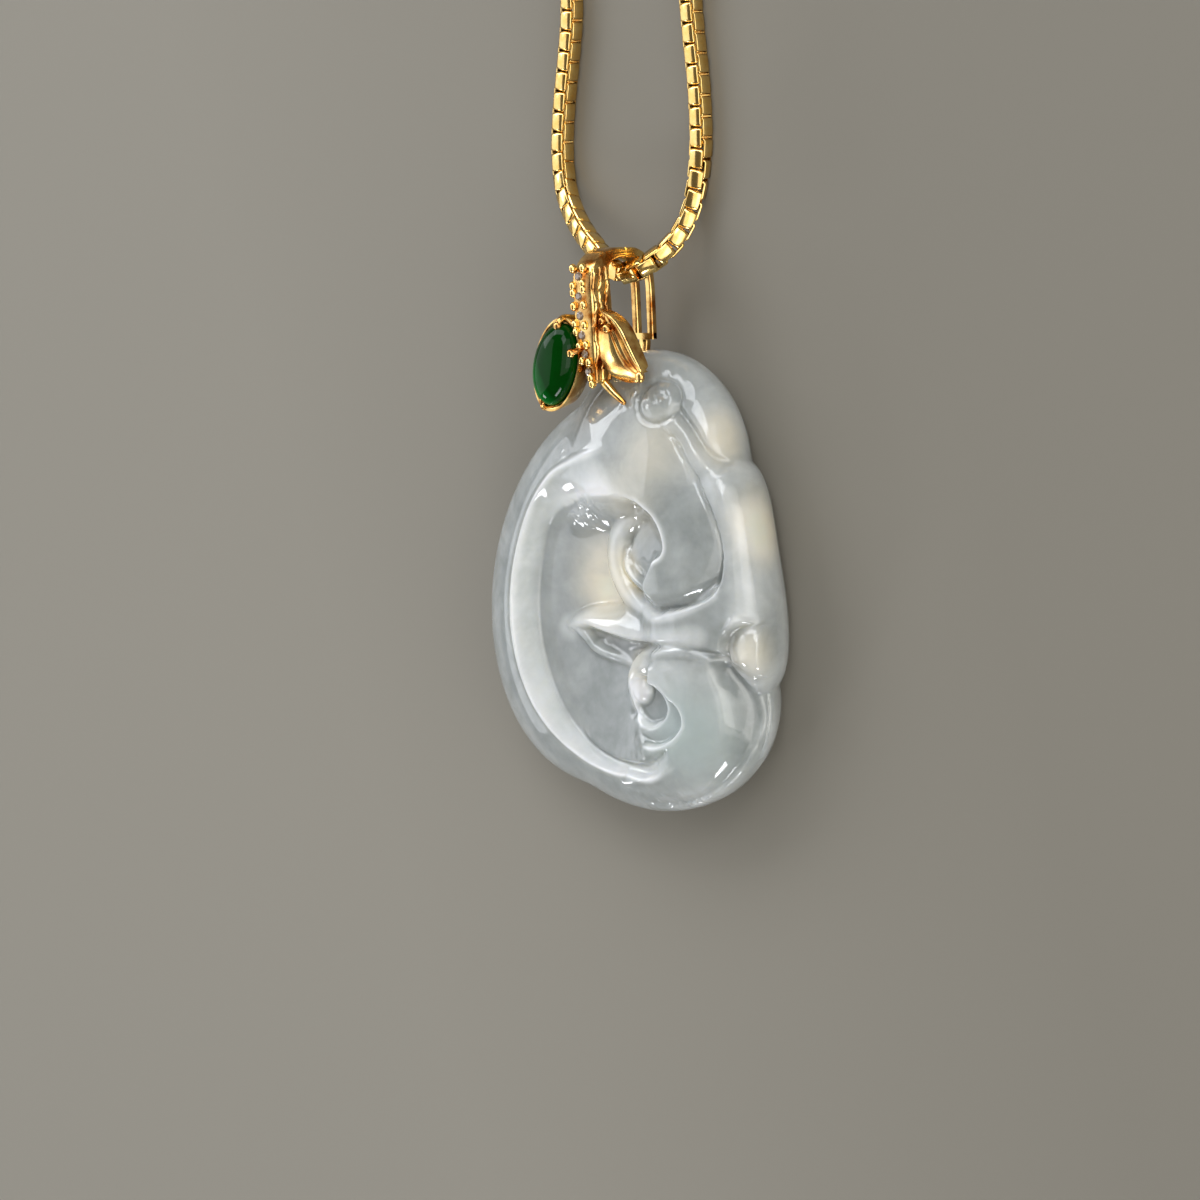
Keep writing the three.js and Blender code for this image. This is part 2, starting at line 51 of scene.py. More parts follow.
toward = Vector((math.sin(VIEW_RIGHT) * math.cos(VIEW_ABOVE), math.sin(VIEW_ABOVE),
                 math.cos(VIEW_RIGHT) * math.cos(VIEW_ABOVE)))
level = Vector((math.cos(VIEW_RIGHT), 0, -math.sin(VIEW_RIGHT)))
upright = toward.cross(level)
right = math.cos(VIEW_ROLL) * level - math.sin(VIEW_ROLL) * upright
up = math.sin(VIEW_ROLL) * level + math.cos(VIEW_ROLL) * upright
camera_data = bpy.data.cameras.new("camera")
camera_data.sensor_width = 36
camera_data.lens = 36 * VIEW_DISTANCE / VIEW_WIDTH
camera_data.clip_start = 0.01
camera_data.clip_end = 10
camera = bpy.data.objects.new("camera", camera_data)
place = AIM_POINT + VIEW_DISTANCE * toward - AIM_OFFSET.x * right - AIM_OFFSET.y * up
camera.matrix_world = (Matrix.Translation(place * MM)
                       @ Matrix((right, up, toward)).transposed().to_4x4())
bpy.context.scene.collection.objects.link(camera)
bpy.context.scene.camera = camera

# The chain: a box chain of square links bent from flat gold strip, each a quarter turn from
# the last and soldered shut. It runs loosely through the bail's loop and lies on the table,
# and most of it is wound up in a flat coil of two layers beyond the picture's top edge.
LINK_FACE = 1.25
LINK_STEP = 0.66
LINK_STRIP = 0.92
LINK_THICK = 0.13
LINK_CORNER = 0.14
LINK_EDGE = 0.04
AIM_SPAN = 0.3

# The right strand leaves the bail turned partly onto its corner and lies flat further on.
ROLL = math.radians(42.0)
ROLL_HELD = 6.0
ROLL_GONE = 11.0

# Each strand's way from the bail's loop to the coil, and the coil's own sizes.
STRAND = 225.0
RIGHT_ROUTE = [(0.2, 20.45, 3.32), (1.3, 20.75, 3.1), (2.4, 21.5, 2.4), (3.2, 22.6, 1.55),
               (3.8, 24.0, 1.0), (4.3, 25.7, 0.72), (4.65, 27.6, 0.65), (4.8, 29.5, 0.65),
               (4.75, 32.5, 0.65), (4.5, 35.5, 0.65), (4.4, 38.2, 0.65), (4.9, 41.0, 0.68),
               (6.1, 44.0, 0.9), (7.5, 47.6, 1.6)]
LEFT_ROUTE = [(-0.2, 20.45, 3.32), (-1.3, 20.9, 3.25), (-2.6, 21.9, 2.85), (-4.1, 22.9, 2.3),
              (-5.6, 24.1, 1.6), (-6.7, 25.5, 1.05), (-7.25, 27.1, 0.72), (-7.3, 29.0, 0.65),
              (-6.95, 31.6, 0.65), (-6.45, 34.2, 0.65), (-6.0, 37.0, 0.65),
              (-6.0, 39.8, 0.65), (-6.8, 43.2, 0.65), (-8.6, 47.0, 0.65)]
COIL = Vector((-0.8, 52.5))
COIL_START = 8.95
COIL_PITCH = 1.2
COIL_LOW = 0.65
COIL_HIGH = 1.95
COIL_TURN_STEP = math.radians(8)
COIL_MOST_STEPS = 400
RIGHT_JOINS_AT = -12
LEFT_JOINS_AT = 196


def linear(hex_colour):
    """An sRGB hex colour as linear RGBA."""
    parts = [int(hex_colour[i:i + 2], 16) / 255 for i in (1, 3, 5)]
    return (*[p / 12.92 if p <= 0.04045 else ((p + 0.055) / 1.055) ** 2.4 for p in parts], 1.0)


def add(tree, kind, inputs=None, **settings):
    """A new node with its settings, and its inputs set to values or linked to sockets."""
    made = tree.nodes.new(kind)
    for name, value in settings.items():
        setattr(made, name, value)
    for name, value in (inputs or {}).items():
        if isinstance(value, bpy.types.NodeSocket):
            tree.links.new(value, made.inputs[name])
        else:
            made.inputs[name].default_value = value
    return made


def new_material(name, **values):
    """A material with plain values on its shader, its node tree, and the shader."""
    made = bpy.data.materials.new(name)
    made.use_nodes = True
    its_shader = made.node_tree.nodes["Principled BSDF"]
    for socket, value in values.items():
        its_shader.inputs[socket.replace("_", " ")].default_value = value
    return made, made.node_tree, its_shader


def smooth_line(points, per=8, closed=False):
    """Points on a smooth line through the given ones."""
    p = np.array(points, float)
    if closed:
        ends = np.vstack([p[-1:], p, p[:2]])
    else:
        ends = np.vstack([2 * p[0] - p[1], p, 2 * p[-1] - p[-2]])
    t = np.arange(per)[:, None] / per
    out = []
    for a, b, c, d in zip(ends, ends[1:], ends[2:], ends[3:]):
        out.append(0.5 * (2 * b + (c - a) * t + (2 * a - 5 * b + 4 * c - d) * t ** 2
                          + (3 * b - a - 3 * c + d) * t ** 3))
    return np.vstack(out + [p[:1] if closed else p[-1:]])


def make_piece(name, points, faces, material, slot, crease=30):
    """A mesh piece from points in millimetres, riding on the pendant."""
    mesh = bpy.data.meshes.new(name)
    mesh.from_pydata((np.asarray(points, float) * MM).tolist(), [],
                     [list(map(int, f)) for f in faces])
    mesh.shade_smooth()
    mesh.set_sharp_from_angle(angle=math.radians(crease))
    mesh.materials.append(material)
    made = bpy.data.objects.new(name, mesh)
    bpy.context.scene.collection.objects.link(made)
    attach(made, "root")
    return made


# 18 carat yellow gold of the chain: strip that was rolled bright, bent and soldered. It is a
# warm mirror with a fine haze from the rolls, a little deeper in colour from link to link.
GOLD_LIGHT = "#FFE6A0"
GOLD_DEEP = "#F0B852"
ROLLED_WAVE = 0.5
ROLLED_DEPTH = 0.006
chain_gold, tree, shader = new_material("yellow gold, rolled strip", Metallic=1.0)
coords = add(tree, "ShaderNodeTexCoord").outputs["Object"]
waves = add(tree, "ShaderNodeTexNoise", {"Vector": coords, "Scale": 1 / (ROLLED_WAVE * MM),
                                         "Detail": 2.0})
shade = add(tree, "ShaderNodeMix", {"Factor": waves.outputs["Fac"], 6: linear(GOLD_LIGHT),
                                    7: linear(GOLD_DEEP)}, data_type="RGBA")
haze = add(tree, "ShaderNodeMapRange", {"Value": waves.outputs["Fac"], "To Min": 0.1,
                                        "To Max": 0.24})
bump = add(tree, "ShaderNodeBump", {"Height": waves.outputs["Fac"], "Strength": 0.5,
                                    "Distance": ROLLED_DEPTH * MM})
tree.links.new(shade.outputs[2], shader.inputs["Base Color"])
tree.links.new(haze.outputs["Result"], shader.inputs["Roughness"])
tree.links.new(bump.outputs["Normal"], shader.inputs["Normal"])


def wind(route, first, turn, z):
    """The route, then a flat spiral inward from angle first, up to the strand's length."""
    def at(angle):
        radius = COIL_START - COIL_PITCH * angle / (2 * math.pi)
        bearing = math.radians(first) + turn * angle
        return [COIL.x + radius * math.cos(bearing), COIL.y + radius * math.sin(bearing), z]

    line = np.vstack([smooth_line(route + [at(0)]),
                      [at(COIL_TURN_STEP * k) for k in range(1, COIL_MOST_STEPS)]])
    reach = np.concatenate([[0], np.cumsum(np.linalg.norm(np.diff(line, axis=0), axis=1))])
    kept = reach < STRAND
    end = [np.interp(STRAND, reach, line[:, i]) for i in range(3)]
    return np.vstack([line[kept], end])


def link_shape():
    """One link: a rounded square loop of flat strip, as (along, up, across) points."""
    corner = LINK_FACE / 2 - LINK_THICK / 2 - LINK_CORNER
    loop = []
    for quarter, (sx, sy) in enumerate(((1, 1), (-1, 1), (-1, -1), (1, -1))):
        for k in range(4):
            a = math.radians(90 * quarter + 30 * k)
            loop.append((sx * corner, sy * corner, math.cos(a), math.sin(a)))
    w, t = LINK_STRIP / 2, LINK_THICK / 2
    section = [(-w, t - LINK_EDGE), (LINK_EDGE - w, t), (w - LINK_EDGE, t), (w, t - LINK_EDGE),
               (w, -t), (-w, -t)]
    points = [(cx + (LINK_CORNER + out) * dx, cy + (LINK_CORNER + out) * dy, side)
              for cx, cy, dx, dy in loop for side, out in section]
    n, m = len(loop), len(section)
    faces = [(i * m + j, (i + 1) % n * m + j, (i + 1) % n * m + (j + 1) % m,
              i * m + (j + 1) % m) for i in range(n) for j in range(m)]
    return np.array(points), np.array(faces)


def make_chain(name, path, roll_way):
    """Links threaded along the path, each a quarter turn from the one before.

    The whole chain is rolled about its own line near the bail, by roll_way times ROLL."""
    reach = np.concatenate([[0], np.cumsum(np.linalg.norm(np.diff(path, axis=0), axis=1))])
    count = int(reach[-1] / LINK_STEP)
    points, faces = link_shape()
    verts, quads = [], []

    def on_path(at):
        return np.array([np.interp(at, reach, path[:, i]) for i in range(3)])

    for k in range(count):
        here = (k + 0.5) * reach[-1] / count
        along = on_path(here + AIM_SPAN) - on_path(here - AIM_SPAN)
        along /= np.linalg.norm(along)
        side = np.cross((0, 0, 1), along)
        side /= np.linalg.norm(side)
        level = np.cross(along, side)
        roll = roll_way * ROLL * np.interp(here, (ROLL_HELD, ROLL_GONE), (1.0, 0.0))
        top = math.cos(roll) * level - math.sin(roll) * side
        side = math.cos(roll) * side + math.sin(roll) * level
        one, other = (side, top) if k % 2 else (top, -side)
        verts.append(on_path(here) + points[:, :1] * along + points[:, 1:2] * one
                     + points[:, 2:3] * other)
        quads.append(faces + k * len(points))
    return make_piece(name, np.vstack(verts), np.vstack(quads), chain_gold, "yellow_gold", 50)


right_path = wind(RIGHT_ROUTE, RIGHT_JOINS_AT, 1, COIL_HIGH)
left_path = wind(LEFT_ROUTE, LEFT_JOINS_AT, -1, COIL_LOW)
chain_right = make_chain("box_chain_right", right_path, 1)
chain_left = make_chain("box_chain_left", left_path, 0)
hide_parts("chain_right", "chain_coil")
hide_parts("chain_left")


# The clasp: a spring ring of round gold wire that lies on the coil, with a small soldered
# tag, and a jump ring at each end of the chain.
CLASP_Z = 3.15
CLASP_R = 2.1
CLASP_WIRE = 0.55
TAG_LENGTH = 0.62
TAG_R = 0.3
JUMP_RING_R = 0.55
JUMP_RING_WIRE = 0.16


def skin(n, sides, closed):
    """The faces over n rings of points, closed into a loop or with flat caps."""
    faces = [(i * sides + j, i * sides + (j + 1) % sides,
              (i + 1) % n * sides + (j + 1) % sides, (i + 1) % n * sides + j)
             for i in range(n if closed else n - 1) for j in range(sides)]
    if not closed:
        faces.append(range(sides - 1, -1, -1))
        faces.append(range((n - 1) * sides, n * sides))
    return faces


def tube(middle, radii, closed=False, sides=12):
    """Points and faces of a round tube along a line of points, with rounded ends."""
    middle = np.array(middle, float)
    radii = np.broadcast_to(radii, len(middle)).astype(float)
    if closed:
        ahead = np.roll(middle, -1, 0) - np.roll(middle, 1, 0)
    else:
        ahead = np.gradient(middle, axis=0)
        ends = []
        for index, sign in ((0, -1), (-1, 1)):
            way = ahead[index] / np.linalg.norm(ahead[index])
            for a in (30, 60, 88):
                ends.append((middle[index] + sign * radii[index] * math.sin(math.radians(a)) * way,
                             radii[index] * math.cos(math.radians(a)), ahead[index]))
        first, last = ends[2::-1], ends[3:]
        middle = np.vstack([[e[0] for e in first], middle, [e[0] for e in last]])
        radii = np.concatenate([[e[1] for e in first], radii, [e[1] for e in last]])
        ahead = np.vstack([[e[2] for e in first], ahead, [e[2] for e in last]])
    ahead /= np.linalg.norm(ahead, axis=1)[:, None]
    across = np.cross(ahead[0], (0.3, 0.2, 1.0))
    points = []
    for centre, way, r in zip(middle, ahead, radii):
        across -= way * (across @ way)
        across /= np.linalg.norm(across)
        second = np.cross(way, across)
        for j in range(sides):
            b = 2 * math.pi * j / sides
            points.append(centre + r * (math.cos(b) * across + math.sin(b) * second))
    return np.array(points), skin(len(middle), sides, closed)


def joined(parts):
    """Several (points, faces) as one."""
    points, faces, start = [], [], 0
    for its_points, its_faces in parts:
        points.append(its_points)
        faces += [[i + start for i in f] for f in its_faces]
        start += len(its_points)
    return np.vstack(points), faces


def circle(middle, radius, steps):
    """Points round a level circle."""
    turns = [2 * math.pi * i / steps for i in range(steps)]
    return [(middle[0] + radius * math.cos(a), middle[1] + radius * math.sin(a), middle[2])
            for a in turns]


tag = [(COIL.x + CLASP_R, COIL.y, CLASP_Z), (COIL.x + CLASP_R + TAG_LENGTH, COIL.y, CLASP_Z)]
clasp_parts = [tube(circle((COIL.x, COIL.y, CLASP_Z), CLASP_R, 40), CLASP_WIRE, True),
               tube(tag, TAG_R)]
clasp = make_piece("spring_ring_clasp", *joined(clasp_parts), chain_gold, "yellow_gold")
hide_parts("clasp")
for strand, path, name in ((chain_right, right_path, "jump_ring_right"),
                           (chain_left, left_path, "jump_ring_left")):
    inward = np.array([COIL.x, COIL.y, path[-1][2]]) - path[-1]
    ring_middle = path[-1] + 0.5 * inward / np.linalg.norm(inward)
    eye = make_piece(name, *tube(circle(ring_middle, JUMP_RING_R, 20), JUMP_RING_WIRE, True, 8),
                     chain_gold, "yellow_gold")

# The bail: cast in 18 carat gold and polished. A strap with small stones bends over the top
# into two thin rails behind, which join below in a foot. A pin from that foot goes up through
# the jade to the strap; the jade is drawn solid, without the hole it has for the pin.

# 18 carat yellow gold of the bail: cast, then polished by hand. It is a warm mirror in patches,
# pale and sharp in some and hazy in others, and the hazy ones are painted brown, as shade
# mirrored in the metal.
GOLD_BAIL = "#FAD688"
GOLD_BAIL_MIRRORED_SHADE = "#A25E1E"
CAST_WAVE = 1.1
CAST_DEPTH = 0.05
SHADE_PATCH_FROM = 0.38
SHADE_PATCH_TO = 0.66
bail_gold, tree, shader = new_material("yellow gold, cast and polished", Metallic=1.0)
coords = add(tree, "ShaderNodeTexCoord").outputs["Object"]
waves = add(tree, "ShaderNodeTexNoise", {"Vector": coords, "Scale": 1 / (CAST_WAVE * MM),
                                         "Detail": 3.0})
# Brown is painted in random patches, as shade mirrored in the metal.
shade_patches = add(tree, "ShaderNodeMapRange", {"Value": waves.outputs["Fac"],
                                           "From Min": SHADE_PATCH_FROM, "From Max": SHADE_PATCH_TO})
shade = add(tree, "ShaderNodeMix", {"Factor": shade_patches.outputs["Result"], 6: linear(GOLD_BAIL),
                                    7: linear(GOLD_BAIL_MIRRORED_SHADE)}, data_type="RGBA")
haze = add(tree, "ShaderNodeMapRange", {"Value": waves.outputs["Fac"], "To Min": 0.1,
                                        "To Max": 0.34})
bump = add(tree, "ShaderNodeBump", {"Height": waves.outputs["Fac"], "Strength": 0.6,
                                    "Distance": CAST_DEPTH * MM})
tree.links.new(shade.outputs[2], shader.inputs["Base Color"])
tree.links.new(haze.outputs["Result"], shader.inputs["Roughness"])
tree.links.new(bump.outputs["Normal"], shader.inputs["Normal"])

# Each bar as (y, z, thickness) along its middle, and the strap's sides as (y, x).
STRAP = [(13.6, 6.6, 1.0), (14.6, 6.42, 1.5), (16.5, 6.33, 1.85), (18.5, 6.3, 1.92),
         (20.3, 6.34, 1.8), (21.4, 5.75, 1.05), (21.8, 4.6, 0.7), (21.75, 3.2, 0.65)]
RAIL = [(21.79, 3.9, 0.68), (21.7, 2.9, 0.65), (21.1, 1.9, 0.6), (19.9, 1.55, 0.5),
        (18.0, 1.5, 0.5), (16.15, 1.5, 0.5)]
FOOT = [(16.4, 1.5, 0.5), (15.9, 1.4, 0.5), (15.0, 1.6, 0.5), (14.0, 2.1, 0.5)]
STRAP_LEFT = [(13.6, 0.3), (14.5, -0.12), (15.6, -0.42), (16.6, -0.7), (17.6, -0.82),
              (21.8, -0.86)]
STRAP_RIGHT = [(13.6, 0.8), (15.6, 0.86), (21.8, 0.88)]
RAIL_OUTSIDE = 0.9
RAIL_W = 0.52
RAIL_CORNER = 0.14
STRAP_CORNER = 0.22
CROSSBAR = [(16.5, 1.5, 0.5), (16.1, 1.5, 0.5)]
FOOT_LEFT = -0.45
FOOT_RIGHT = 0.25
STRAP_FACE = 7.26
PIN = (0.0, 14.3)
PIN_R = 0.45


def bar(line, low, high, corner):
    """A bar of rounded oblong section along a line of (y, z, thickness), from x low to high."""
    mid = smooth_line(line, 10)
    ahead = np.gradient(mid[:, :2], axis=0)
    ahead /= np.linalg.norm(ahead, axis=1)[:, None]
    points, sides = [], 16
    for (y, z, thick), (ay, az) in zip(mid, ahead):
        half, x0, x1 = thick / 2, low(y), high(y)
        r = min(corner, 0.9 * half)
        for k in range(sides):
            a = 2 * math.pi * (k + 0.5) / sides
            cx = x1 - r if math.cos(a) > 0 else x0 + r
            cn = half - r if math.sin(a) > 0 else r - half
            out = cn + r * math.sin(a)
            points.append((cx + r * math.cos(a), y - az * out, z + ay * out))
    n = len(mid)
    faces = [(i * sides + j, (i + 1) * sides + j, (i + 1) * sides + (j + 1) % sides,
              i * sides + (j + 1) % sides) for i in range(n - 1) for j in range(sides)]
    faces.append(range(sides))
    faces.append(range(n * sides - 1, (n - 1) * sides - 1, -1))
    return np.array(points), faces


def ball(middle, radius, squash=(1, 1, 1), rows=8, sides=12):
    """A small rounded grain of metal."""
    points = [(0, 0, 1)]
    for i in range(1, rows):
        a = math.pi * i / rows
        points += [(math.sin(a) * math.cos(b), math.sin(a) * math.sin(b), math.cos(a))
                   for b in (2 * math.pi * j / sides for j in range(sides))]
    points.append((0, 0, -1))
    points = np.array(middle) + radius * np.array(points) * squash
    last = len(points) - 1
    faces = []
    for j in range(sides):
        k = (j + 1) % sides
        faces.append((0, 1 + j, 1 + k))
        faces.append((last, last - sides + k, last - sides + j))
        faces += [(1 + i * sides + j, 1 + (i + 1) * sides + j, 1 + (i + 1) * sides + k,
                   1 + i * sides + k) for i in range(rows - 2)]
    return points, faces


def strap_left(y):
    """The x of the strap's left side at y."""
    return np.interp(y, *zip(*STRAP_LEFT))


def strap_right(y):
    """The x of the strap's right side at y."""
    return np.interp(y, *zip(*STRAP_RIGHT))


def straight(x):
    """A side that stays at x."""
    return lambda y: x


out, inner = RAIL_OUTSIDE, RAIL_OUTSIDE - RAIL_W
strap_parts = [bar(STRAP, strap_left, strap_right, STRAP_CORNER),
               bar(RAIL, straight(-out), straight(-inner), RAIL_CORNER),
               bar(RAIL, straight(inner), straight(out), RAIL_CORNER),
               bar(CROSSBAR, straight(-out), straight(out), RAIL_CORNER),
               bar(FOOT, straight(FOOT_LEFT), straight(FOOT_RIGHT), RAIL_CORNER),
               tube([(*PIN, 2.1), (*PIN, 4.0), (*PIN, 6.2)], PIN_R, sides=16)]
strap = make_piece("bail_strap", *joined(strap_parts), bail_gold, "yellow_gold", 35)
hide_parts("gold_bail")

# The stones' setting: two rows of grains, raised with a graver beside the stones and rounded,
# and three knotty ribs like bark along the strap's right flank.
GRAINS_LEFT = [(-0.68, 20.95), (-0.72, 19.85), (-0.72, 19.4), (-0.72, 18.55), (-0.7, 17.4),
               (-0.62, 16.9), (-0.42, 16.0), (-0.22, 15.1)]
GRAINS_RIGHT = [(0.2, 21.0), (0.14, 20.0), (0.16, 19.65), (0.14, 18.65), (0.16, 17.35),
                (0.22, 16.1), (0.38, 15.0), (0.5, 14.0), (0.6, 13.62)]
GRAIN_R = 0.24
GRAIN_FORM = (1, 1.3, 1.1)
GRAIN_LIFT = 0.02

# A rib is given by its height, its radius and how far its knots are shifted.
RIBS = [(7.0, 0.2, 0.0), (6.45, 0.24, 1.3), (5.85, 0.22, 2.9)]
RIB_FROM = 13.9
RIB_TO = 20.9
RIB_INSET = 0.06
RIB_SWAY = 0.04
RIB_RISE = 0.08
KNOT_STEP = 0.85
grains = []
for row in (GRAINS_LEFT, GRAINS_RIGHT):
    grains += [ball((x, y, STRAP_FACE + GRAIN_LIFT), GRAIN_R, GRAIN_FORM) for x, y in row]
make_piece("bail_setting_grains", *joined(grains), chain_gold, "yellow_gold")
ribs = []
for height, r, shift in RIBS:
    rib = [(strap_right(y) - RIB_INSET + RIB_SWAY * math.sin(4.1 * y + shift), y,
            height + RIB_RISE * math.sin(2.3 * y + shift))
           for y in np.linspace(RIB_FROM, RIB_TO, 60)]
    swell = [r * (0.8 + 0.3 * max(0, math.sin(2 * math.pi * p[1] / KNOT_STEP + shift)) ** 3)
             for p in rib]
    ribs.append(tube(rib, swell))
make_piece("bail_ribs", *joined(ribs), bail_gold, "yellow_gold")

# The leaf: cast with the strap, hollow like a scoop. Its right edge is a broad polished rim that
# ends in a round tip, with one raised vein inside. Two buds stand at its root, and a twig that
# tapers to its end lies over the jade below it.
LEAF_LEFT = [(1.05, 18.0), (0.85, 17.0), (0.9, 15.8), (1.25, 14.8), (2.0, 14.1), (3.1, 13.72),
             (3.85, 13.68)]
LEAF_RIGHT = [(1.3, 18.3), (2.1, 17.85), (2.75, 17.15), (3.25, 16.3), (3.8, 15.4), (4.3, 14.75),
              (4.45, 14.35)]
LEAF_TOP = 6.85
LEAF_HOLLOW = 0.75
LEAF_WALL = 0.35
LEAF_BELLY = 0.8
RIM_AT = 0.8
RIM_HALF = 0.2
RIM_HIGH = 0.3
VEIN_AT = 0.42
VEIN_DRIFT = 0.1
VEIN_HALF = 0.07
VEIN_HIGH = 0.2
TIP_FROM = 0.86


def leaf_surface(rows=56, cells=28):
    """The leaf's hollow top and its belly, closed by walls along the edges."""
    left_edge, right_edge = smooth_line(LEAF_LEFT), smooth_line(LEAF_RIGHT)
    at = np.linspace(0, len(left_edge) - 1, rows + 1)
    left_edge = np.array([np.interp(at, range(len(left_edge)), c) for c in left_edge.T]).T
    right_edge = np.array([np.interp(at, range(len(right_edge)), c) for c in right_edge.T]).T
    points = []
    for under in (False, True):
        for i, (a, b) in enumerate(zip(left_edge, right_edge)):
            u = i / rows
            lens = math.sin(math.pi * (0.08 + 0.86 * u)) ** 0.7
            tip = max(0, (u - TIP_FROM) / (1 - TIP_FROM))
            belly = LEAF_BELLY * math.sin(math.pi * min(1, 0.15 + 0.8 * u))
            for t in np.linspace(0, 1, cells + 1):
                rim = math.exp(-((t - RIM_AT) / RIM_HALF) ** 2)
                vein = math.exp(-((t - VEIN_AT - VEIN_DRIFT * u) / VEIN_HALF) ** 2)
                top = LEAF_TOP - LEAF_HOLLOW * lens * math.sin(math.pi * t) ** 0.8
                top += RIM_HIGH * rim + VEIN_HIGH * vein * lens
                top -= 0.3 * max(0, (t - 0.9) / 0.1) ** 2 + 0.3 * tip ** 2
                low = min(LEAF_TOP - LEAF_WALL - belly + 0.25 * tip, top - 0.15)
                points.append((*(a + (b - a) * t), low if under else top))
    side = cells + 1
    floor = (rows + 1) * side
    faces = []
    for i in range(rows):
        for j in range(cells):
            k = i * side + j
            faces.append((k, k + side, k + side + 1, k + 1))
            faces.append((floor + k, floor + k + 1, floor + k + side + 1, floor + k + side))
        k = i * side
        faces.append((floor + k, floor + k + side, k + side, k))
        k += cells
        faces.append((k, k + side, floor + k + side, floor + k))
    for j in range(cells):
        faces.append((j, j + 1, floor + j + 1, floor + j))
        k = rows * side + j
        faces.append((k, floor + k, floor + k + 1, k + 1))
    return np.array(points), faces


make_piece("bail_leaf", *leaf_surface(), bail_gold, "yellow_gold", 50)
TWIG = [(0.3, 14.1, 6.2), (0.75, 13.5, 6.15), (1.3, 12.9, 6.0), (1.95, 12.35, 5.9)]
TWIG_RADII = [0.34, 0.3, 0.26, 0.17]
leaf_tip = ball((4.2, 14.05, 6.75), 0.36, (1.0, 1.1, 0.75))
buds = [ball((1.4, 17.1, 6.6), 0.34), ball((1.15, 17.6, 6.75), 0.26)]
make_piece("bail_twig", *joined([tube(TWIG, TWIG_RADII), leaf_tip] + buds), bail_gold,
           "yellow_gold")


# The green stone's cup: an oval wall of gold that widens upward, soldered to the strap by a
# short arm, with claws that are bent over the stone's edge.
STONE = {"x": -2.4, "y": 14.85, "turn": -20.0, "a": 1.68, "b": 2.77}
CUP = [(0.5, 5.92), (0.97, 5.92), (1.02, 6.0), (1.14, 7.3), (1.13, 7.38), (1.08, 7.4),
       (1.03, 7.33), (1.0, 6.75), (0.5, 6.7)]
CUP_ARM = [(-1.6, 15.6, 6.3), (-0.3, 16.0, 6.3)]
CUP_ARM_R = 0.4

# A claw is given by its place round the oval in degrees, its radius and its height. It bends
# through places given by their share of the oval and their height, at its end from its top.
CLAWS = ((100, 0.24, 7.7), (30, 0.24, 7.75), (-98, 0.2, 7.6))
CLAW_ROOT = ((1.09, 6.3), (1.12, 7.2))
CLAW_END = ((1.06, -0.1), (0.93, 0.08))
CLAW_TAPER = 0.8
CLAW_HEAD = 1.25


def stone_point(turn, grow, z):
    """A point at height z on the stone's oval grown by grow, turn degrees round it."""
    w, t = math.radians(STONE["turn"]), math.radians(turn)
    lx, ly = grow * STONE["a"] * math.cos(t), grow * STONE["b"] * math.sin(t)
    return (STONE["x"] + lx * math.cos(w) - ly * math.sin(w),
            STONE["y"] + lx * math.sin(w) + ly * math.cos(w), z)


def oval(profile, closed=False, sides=48):
    """A turned profile of (grow, z), drawn out to the stone's oval."""
    points = [stone_point(360 * j / sides, k, z) for k, z in profile for j in range(sides)]
    return np.array(points), skin(len(profile), sides, closed)


cup_parts = [oval(CUP, True), tube(CUP_ARM, CUP_ARM_R)]
for turn, r, top in CLAWS:
    bend = [*CLAW_ROOT, *((grow, top + rise) for grow, rise in CLAW_END)]
    claw = smooth_line([stone_point(turn, grow, z) for grow, z in bend], 5)
    cup_parts.append(tube(claw, np.linspace(r, CLAW_TAPER * r, len(claw))))
    cup_parts.append(ball(claw[-1], CLAW_HEAD * r, (1, 1, 0.8)))
make_piece("bail_cup_and_claws", *joined(cup_parts), bail_gold, "yellow_gold", 40)

# The green stone: imperial green jadeite, sawn and polished to an oval dome. It is deep, glassy
# and very dark, and its left side is painted lighter, as light gathering there.
GREEN_DEEP = "#002A00"
GREEN_LIT = "#017A2A"
GREEN_CLOUD = 1.4
GREEN_ACROSS = (0.94, 0.34, 0.0)
GREEN_LIT_TO = 1.3
GREEN_DARK_FROM = 2.3
GIRDLE = 0.985
GIRDLE_Z = 7.3
DOME_RISE = 1.2
DOME_RINGS = 20
green_jade, tree, shader = new_material("green jadeite, polished", IOR=1.66, Roughness=0.06,
                                        Specular_IOR_Level=0.05, Transmission_Weight=0.1)
coords = add(tree, "ShaderNodeTexCoord").outputs["Object"]
clouds = add(tree, "ShaderNodeTexNoise", {"Vector": coords, "Scale": 1 / (GREEN_CLOUD * MM),
                                          "Detail": 3.0})
# Painted light: the green is lighter toward the stone's left side.
along = add(tree, "ShaderNodeVectorMath", {0: coords, 1: GREEN_ACROSS},
            operation="DOT_PRODUCT")
lit = add(tree, "ShaderNodeMapRange", {"Value": along.outputs["Value"],
                                       "From Min": GREEN_LIT_TO * MM,
                                       "From Max": GREEN_DARK_FROM * MM,
                                       "To Min": 1.5, "To Max": 0.12})
mottle = add(tree, "ShaderNodeMath", {0: clouds.outputs["Fac"], 1: lit.outputs["Result"]},
             operation="MULTIPLY")
shade = add(tree, "ShaderNodeMix", {"Factor": mottle.outputs["Value"], 6: linear(GREEN_DEEP),
                                    7: linear(GREEN_LIT)}, data_type="RGBA")
tree.links.new(shade.outputs[2], shader.inputs["Base Color"])
dome = [(0.5, 6.76), (0.9, 6.76), (GIRDLE, 7.1)]
for k in range(DOME_RINGS):
    t = k / DOME_RINGS * math.pi / 2
    dome.append((GIRDLE * math.cos(t) ** 0.8, GIRDLE_Z + DOME_RISE * math.sin(t)))
green = make_piece("green_cabochon_stone", *oval(dome), green_jade, "green_jade", 60)
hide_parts("green_cabochon")
